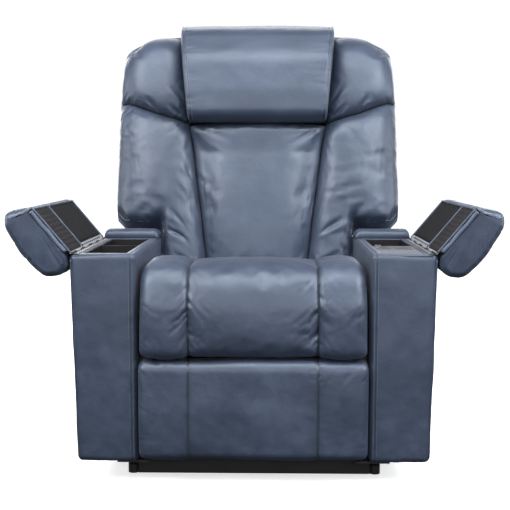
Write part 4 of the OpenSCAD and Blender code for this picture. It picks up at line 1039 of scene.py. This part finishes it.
TOP = 762.0                                # the shell's top, as s
shoulder_sides = (
    seg([203, 485], [300, 516], [386, 552], [WING - 5, 555], r=[0, 160, 40, 0]),
    seg([bolster_x(760) + 2, TOP + 1], [320, TOP - 4], [384, TOP - 40], r=[0, 150, 0]),
    seg([203, 485], [bolster_x(760) + 2, TOP + 2]),
    seg([WING - 5, 555], [WING - 7, 600], [WING - 12, 660], [WING - 20, 706], [384, TOP - 40],
        r=[0, 100, 100, 24, 0]))


def shoulder_height(x, s):
    return (122 - 12 * ((x - 285) / 130) ** 2 - 30 * unit((s - 620) / 140) ** 1.7
            - 4 * unit((540 - s) / 60))


def shoulder_relief(seed):
    folds = [(398, 714, 346, 684, 8, 8), (216, 500, 262, 540, 6, 7), (212, 540, 250, 590, 5, 7),
             (300, 520, 330, 560, 4, 7)]

    def relief(x, s, d):
        out = 5.0 * noise(x / 110, s / 110, seed) + 1.8 * noise(x / 46, s / 44, seed + 3)
        out -= 5.0 * creases(s, d[2], seed + 5, 26, 36, 0.8)
        out -= 5.0 * creases(x, d[0], seed + 7, 24, 36, 0.5)
        out += folds_at(x, s, folds, seed + 9)
        return out - 12 * bump(np.hypot(x - 400, s - 712), 9)
    return relief


shoulder_edges = [(34, 62), (52, 70), (34, 52), (60, 76)]
shoulder_reliefs = shoulder_relief(83.0), shoulder_relief(91.0)

for kind, sides, edges, height, reliefs, n in (
        ("wing", wing_sides, wing_edges, wing_height, wing_reliefs, (96, 110)),
        ("shoulder", shoulder_sides, shoulder_edges, shoulder_height, shoulder_reliefs, (72, 84))):
    for (side, tag), relief in zip(SIDES, reliefs):
        pad = panel("back_%s_%s_skin" % (kind, tag), sides, edges, height, relief, side < 0, n)
        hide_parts("back_%s_%s" % (kind, tag))

# the piping of the wings' waist and lower edge
for side, tag in SIDES:
    q = seg([277, 8], [278, 196], [334, 192], [WING - 24, 197], [WING - 4, 222], r=[0, 14, 40, 30, 0])
    x, s = spaced(q, 70).T
    n = face_height("back_wing_%s_skin" % tag, x, s)
    tube("back_wing_%s_welt" % tag, "back", [on_back(side * x, s, n + 0.3)], 2.3, BLUE)

# headrest bolster: a roll with a flat gusset on each side; its profile is in (s, n)
bol_over = seg([496, 46], [480, 148], [497, 180], [562, 190], [662, 191], [750, 150], [783, 88], [781, 20],
               [770, -10], r=[0, 26, 30, 90, 120, 80, 40, 26, 0])


def bol_lift(x, s, total):
    e = BOLSTER_HALF - np.abs(x)
    out = -2.2 * bump(e - 11, 1.6) - 4.5 * creases(s, e, 101.0 + np.sign(x), 30, 26) - 3.0 * bump(e, 5.0)
    out += 2.6 * noise(x / 120, s / 100, 105.0) + 0.8 * noise(x / 45, s / 42, 107.0)
    return out + 4.0 * (1 - (x / BOLSTER_HALF) ** 2)


bolster, bolster_surface = loft("headrest_bolster_skin", "headrest", bol_over,
                                [(764.3, -8), (764.3, 42.3), (500, 42.3)], 1,
                                stations(BOLSTER_HALF, (-BOLSTER_HALF + 11, BOLSTER_HALF - 11), 8),
                                lambda x, a, b: on_back(x * bolster_x(a) / BOLSTER_HALF, a, b),
                                lambda x, s: end_round(x, BOLSTER_HALF, 8), bol_lift, 120)
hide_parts("headrest_bolster")


def round_bolster(x, t0, t1, out):
    """Points round the bolster at x, raised by out, and their normals."""
    p, nr = pick(bolster_surface, x, np.linspace(t0, t1, 120))
    if ((p - bolster_surface[2].reshape(-1, 3).mean(0)) * nr).sum() < 0:
        nr = -nr
    return p + nr * out, nr


bol_len = bolster_surface[1][-1]
tube("headrest_welts", "headrest",
     [round_bolster(x, 24, bol_len - 46, 0.4)[0] for x in (-BOLSTER_HALF + 6, BOLSTER_HALF - 6)], 2.3,
     BLUE_DARK)
thread("headrest_stitches", "headrest",
       [round_bolster(x, 28, bol_len - 50, 0.2) for x in (-BOLSTER_HALF + 15, BOLSTER_HALF - 15)], THREAD)

# shell round the sides and rear of the back
half = [(279.8, 45), (279.8, 180), (336, 180), (WING - 40, 184), (WING - 5, 224), (WING - 4, 450),
        (WING - 6, 560), (WING - 13, 640), (WING - 21, 698), (WING - 40, TOP - 36), (330, TOP - 8),
        (220, TOP)]
half_r = [20, 4, 40, 20, 60, 200, 200, 100, 40, 40, 100, 60]
outline = ring(half + [(-x, s) for x, s in half[::-1]], half_r + half_r[::-1], 10)
outline = spaced(np.vstack([outline, outline[:1]]), 321)[:-1]
REAR, REAR_R = -118, 18                    # the shell's rear face and its edge's radius
middle = np.array([0, 400.0])
prof = [(41, 4), (40, 0.6), (36, 0)] + [(n, 0) for n in (20, 0, -20, -40, -60, -80, -95)]
prof += [(REAR + REAR_R * (1 - math.sin(a)), REAR_R * (1 - math.cos(a)))
         for a in np.linspace(0.15, math.pi / 2, 7)]
nrm = normals2d(np.vstack([outline[-1:], outline, outline[:1]]))[1:-1]
if ((outline - middle) * nrm).sum() < 0:
    nrm = -nrm
verts, tones = [], []
m = len(outline)
for high, inset in prof:
    q = outline - nrm * inset
    x, s = q.T
    wob = 1.2 * noise(x / 90, s / 90, high / 90)
    x, s = (q + nrm * np.minimum(wob, 0.8)[:, None] * (1 if inset == 0 else 0.3)).T
    verts.append(on_back(x, s, high))
    # painted shade: the rows of the rear edge's turn next to the rear welt are darker; a random tint besides
    tones.append(0.2 * noise(x / 50, s / 50, high / 50) - (0.8 if inset > 12 else 0))
edge = outline - nrm * REAR_R
for k in range(1, 13):
    f = 1 - k / 12.5
    x, s = (middle + (edge - middle) * f).T
    d = 1 - f
    deep = REAR - 6 * (1 - (1 - min(1, d * 3)) ** 2) + (2.5 * bump(d - 0.012, 0.02) if k < 2 else 0)
    verts.append(on_back(x, s, deep + 1.5 * noise(x / 140, s / 120, 7.7)))
    tones.append(0.25 * noise(x / 60, s / 60, 3.3))
faces = grid_faces(len(verts), m, wrap=True) + [tuple((len(verts) - 1) * m + k for k in range(m))]
shell = mesh_object("back_shell_skin", np.vstack(verts), faces, BLUE, "back", np.concatenate(tones))
fix_normals(shell)
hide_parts("back_shell")
pipe = outline - nrm * (REAR_R - 3.0)
pipe = np.vstack([pipe, pipe[:1]])
tube("back_shell_welt", "back", [on_back(*pipe.T, REAR + 3.0)], 3.2, BLUE_DARK)


# ------------------------------------------------------------ arms

well_x0, well_x1, well_y0, well_y1 = 306.0, 410.0, 36.0, 436.0
SEAM_ARM = ARM_IN + 13.0


def inside(u, v, us, vs):
    """Distance of the places u, v to the nearest edge of a rectangle, below 0 outside it."""
    return np.minimum(np.minimum(u - us[0], us[1] - u), np.minimum(v - vs[0], vs[1] - v))


def taper(z):
    """How far the arm's outer side comes in at the height z."""
    return ARM_TAPER * (1 - (z - ARM_BOTTOM) / (ARM_TOP - ARM_BOTTOM))


def arm_skin(side, tag):
    gx = lines(ARM_IN, ARM_OUT, 9, (well_x0, well_x1, *(SEAM_ARM + d for d in (-5, -2, 0, 2, 5))))
    gy = lines(0.0, ARM_LEN, 11, (well_y0, well_y1))
    gz = lines(ARM_BOTTOM, ARM_TOP, 10)
    seed = 120.0 + 20 * side

    def round_at(v):
        return np.where(v[:, 0] < (ARM_IN + ARM_OUT) / 2, 10.0, 12.5)

    def shape(p, n, v):
        x, y, z = v.T
        out = p.copy()
        front = (n[:, 1] < -0.5) * 1.0
        outer = (n[:, 0] > 0.5) * 1.0
        inner = (n[:, 0] < -0.5) * 1.0
        upper = (n[:, 2] > 0.7) * 1.0
        w = 3.2 * noise(x / 120, z / 130 + y / 150, seed) + 1.4 * noise(x / 45, z / 60 + y / 70, seed + 2)
        w = w * np.where(upper > 0, 0.25, 1.0)
        fold = creases(z, np.minimum(x - ARM_IN, ARM_OUT - x), seed + 5, 34, 26, 0.5) * front
        low = creases(x, z - ARM_BOTTOM, seed + 8, 26, 26) * front
        groove = (2.0 * bump(x - SEAM_ARM, 1.3)) * np.maximum(front, upper * (x < well_x0 - 2))
        across = 2.0 * unit(1 - ((x - 360) / 78) ** 2) * front
        across += 1.5 * unit(1 - ((y - 294) / 290) ** 2) * outer
        crown = across * unit(1 - ((z - 310) / 250) ** 2)
        d = w - 2.2 * fold - 2.2 * low - groove + crown + 0.8
        d = np.clip(d, -2.2, 3.0) * (1 - 0.85 * inner)
        out = out + n * d[:, None]
        out[:, 0] -= taper(z) * unit((x - ARM_IN) / (ARM_OUT - ARM_IN))
        rim = inside(x, y, (well_x0 - 3, well_x1 + 3), (well_y0 - 3, well_y1 + 3)) > 0
        out[rim & (upper > 0), 2] -= 1.2
        out[:, 0] *= side
        return out

    def shade_and_tone(p, n, v):
        x, y, z = v.T
        # painted shade in the groove of the seam on the arm's front and top, with a random tint
        seam = bump(x - SEAM_ARM, 1.6) * ((n[:, 1] < -0.5) | (n[:, 2] > 0.7))
        return -1.2 * seam + 0.25 * noise(x / 60, z / 60, y / 60)

    ob = softbox("arm_%s_skin" % tag, "chassis", gx, gy, gz, round_at, shape,
                 lambda x, y: well_x0 < x < well_x1 and well_y0 < y < well_y1, shade_and_tone)
    return ob


def arm_stitches(side):
    out = []
    for off in (-4.0, 4.0):
        x = side * (SEAM_ARM + off)
        out.append((xyz(x, -1.4, np.linspace(ARM_BOTTOM + 14, ARM_TOP - 12, 60)), (0.0, -1, 0)))
        out.append((xyz(x, np.linspace(12, ARM_LEN - 150, 50), ARM_TOP + 0.4), (0.0, 0, 1)))
    return out


for side, tag in SIDES:
    skin = arm_skin(side, tag)
    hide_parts("arm_%s_cover" % tag)
    thread("arm_%s_stitches" % tag, "chassis", arm_stitches(side), THREAD)
    x = np.linspace(ARM_IN + 10, ARM_OUT - 12, 40)
    top_line = xyz(side * x, 3.2, ARM_TOP - 3.0)
    z = np.linspace(ARM_BOTTOM + 12, ARM_TOP - 12, 60)
    side_line = xyz(side * (ARM_OUT - 3.2 - taper(z)), 3.2, z)
    tube("arm_%s_welts" % tag, "chassis", [top_line, side_line], 1.9, BLUE_DARK)

# low pads behind the lids
pad_over = bent([[456, 0], [450, 18], [474, 28], [532, 20], [586, 8], [587, 0]], [0, 14, 30, 60, 6, 0])


def arm_pad(side, tag):
    half = 77.0
    mid = (ARM_IN + ARM_OUT) / 2 - 1

    def place(x, a, b):
        return xyz(side * (mid + x), a, ARM_TOP + 0.4 + np.maximum(b, 0))

    def lift(x, s, total):
        return 1.5 * noise(x / 40, s / 40, 140 + side) - 1.5 * creases(s, half - np.abs(x), 150.0, 20, 20)

    ob, _ = loft("arm_%s_rear_pad_skin" % tag, "chassis", pad_over, [(520, 0)], 0, stations(half, (), 18),
                 place, lambda x, s: end_round(x, half, 14), lift, 50)
    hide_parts("arm_%s_rear_pad" % tag)


for side, tag in SIDES:
    arm_pad(side, tag)

# ------------------------------------------------------------ lids

HX, HZ = ARM_OUT - 7.0, ARM_TOP + 3.0      # the piano hinge's axis
TURN = math.radians(130)                   # a lid's turn from closed to open, as in the photo
LID_IN, LID_OUT = -136, -3                 # the linings' edges, counted from the hinge
LID_WELTS = 6.0, 153.0, 441.0              # the welts across a lid, as y
lid_over = seg([-4, 14.3], [20, 28], [24, 58], [2, 90.3], [-66, 98.3], [-152, 84], [-177, 60],
               [-150, 5], [-142, 4], r=[0, 16, 30, 34, 160, 34, 18, 8, 0])


def lid_place(side):
    """Places on an open lid: y along it, a across it, below 0 away from the hinge, and b up from
    its board."""
    def place(y, a, b):
        c, s = math.cos(TURN), math.sin(TURN)
        return xyz(side * (HX + a * c + b * s), y, HZ - a * s + b * c)
    return place


def lid_pad(side, tag, seed):
    mid, half, r = 217.0, 229.0, 28.0
    seams = (-half + 26, half - 26)
    place = lid_place(side)

    def lift(y, s, total):
        e = half - np.abs(y)
        end = bump(s - total + 4, 40)
        out = 2.6 * noise(y / 90, s / 60, seed) + 0.9 * noise(y / 36, s / 30, seed + 2)
        out -= 3.2 * creases(s, e, seed + 4, 24, 38, 0.5)
        out -= 1.6 * bump(e - 26, 1.8) * (s > 40)
        return out * (1 - 0.7 * end)

    ob, _ = loft("lid_%s_skin" % tag, "lid_%s" % tag, lid_over, [(-140.3, 5), (-140.3, 14.3)], 1,
                 stations(half, seams, r), lambda y, a, b: place(y + mid, a, b),
                 lambda y, s: 0.6 * end_round(y, half, r), lift, 80, soft=(seams, 6.0, 1.2, 0.06))
    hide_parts("lid_%s_pad" % tag)


lid_pad(*SIDES[0], 161.0)
lid_pad(*SIDES[1], 171.0)


def patch(name, body, material, place, us, vs, height, foot):
    """Thin raised patch: height(u, v) above the plane that place(u, v, h) gives, closed at foot."""
    U, V = np.meshgrid(us, vs, indexing="ij")
    rim, sides_and_foot = skirt(*U.shape)
    verts = np.vstack([place(U, V, height(U, V)).reshape(-1, 3),
                       place(U.reshape(-1)[rim], V.reshape(-1)[rim], foot)])
    ob = mesh_object(name, verts, grid_faces(*U.shape) + sides_and_foot, material, body)
    fix_normals(ob)
    return ob


STRIP, LINED = (8, 148), (158, 438)        # the two lengths of a lid's lining
LINED_OUT = -17                            # the rear one stops short of the hinge's leaf


def ribbed(u, v):
    edge = inside(u, v, STRIP, (LID_IN, LID_OUT))
    return 3.6 - 2.2 * unit(edge / 5) ** 0.5 - 0.5 * np.cos(v / 2.2)


def plain(u, v):
    edge = inside(u, v, LINED, (LID_IN, LINED_OUT))
    return 3.7 - 1.0 * unit(edge / 6) ** 0.5 - 0.5 * noise(u / 60, v / 60, 7.0)


for side, tag in SIDES:
    place = lid_place(side)
    body = "lid_%s" % tag
    patch("lid_%s_strip" % tag, body, RIB, place, np.linspace(*STRIP, 24),
          np.linspace(LID_IN, LID_OUT, 120), ribbed, 4.1)
    patch("lid_%s_lining" % tag, body, LINING, place, np.linspace(*LINED, 30),
          np.linspace(LID_IN, LINED_OUT, 16), plain, 4.1)
    x = np.linspace(-137, -12, 30)
    tube("lid_%s_nose" % tag, body, [place(-6.8, x, 9.2 + 0.6 * np.sin(x / 9))], 6.5, BLUE, 12)
    x, y = np.linspace(-139, -4, 30), np.linspace(6, 441, 80)
    ends = [place(q, x, 2.6) for q in LID_WELTS]
    tube("lid_%s_welts" % tag, body, [place(y, -139.0, 2.8)] + ends, 3.0, BLUE, 8)
    y = np.linspace(160, 434, 40)
    down = place(0.0, 0.0, -1.0) - place(0.0, 0.0, 0.0)
    thread("lid_%s_slots" % tag, body, [(place(y, -9.0, 2.4), down)], BLACK, 25.0, 13.0, 2.3, 0.2)
    y = np.linspace(20, 430, 60)
    at = xyz(side * (HX - 9.5), y, ARM_TOP + 1.6)
    thread("arm_%s_screws" % tag, "chassis", [(at, (0.0, 0, 1.0))], ZINC, 25.0, 6.0, 1.9, 0.0)


# ------------------------------------------------------------ rear valance

HANG_X, HANG_TOP, HANG_FOOT = 275.0, 324.0, 72.0


def valance_shape(p, n, v):
    x, y, z = v.T
    out = p.copy()
    out[:, 1] += 3.0 * noise(x / 70, z / 200, 181.0) * unit((HANG_TOP - z) / 250)
    return out


valance = softbox("rear_valance_skin", "chassis", lines(-HANG_X, HANG_X, 14),
                  np.array([652.3, 654.6, 657, 659.3]), lines(HANG_FOOT, HANG_TOP, 14),
                  lambda v: np.full(len(v), 1.1), valance_shape)
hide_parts("rear_valance")
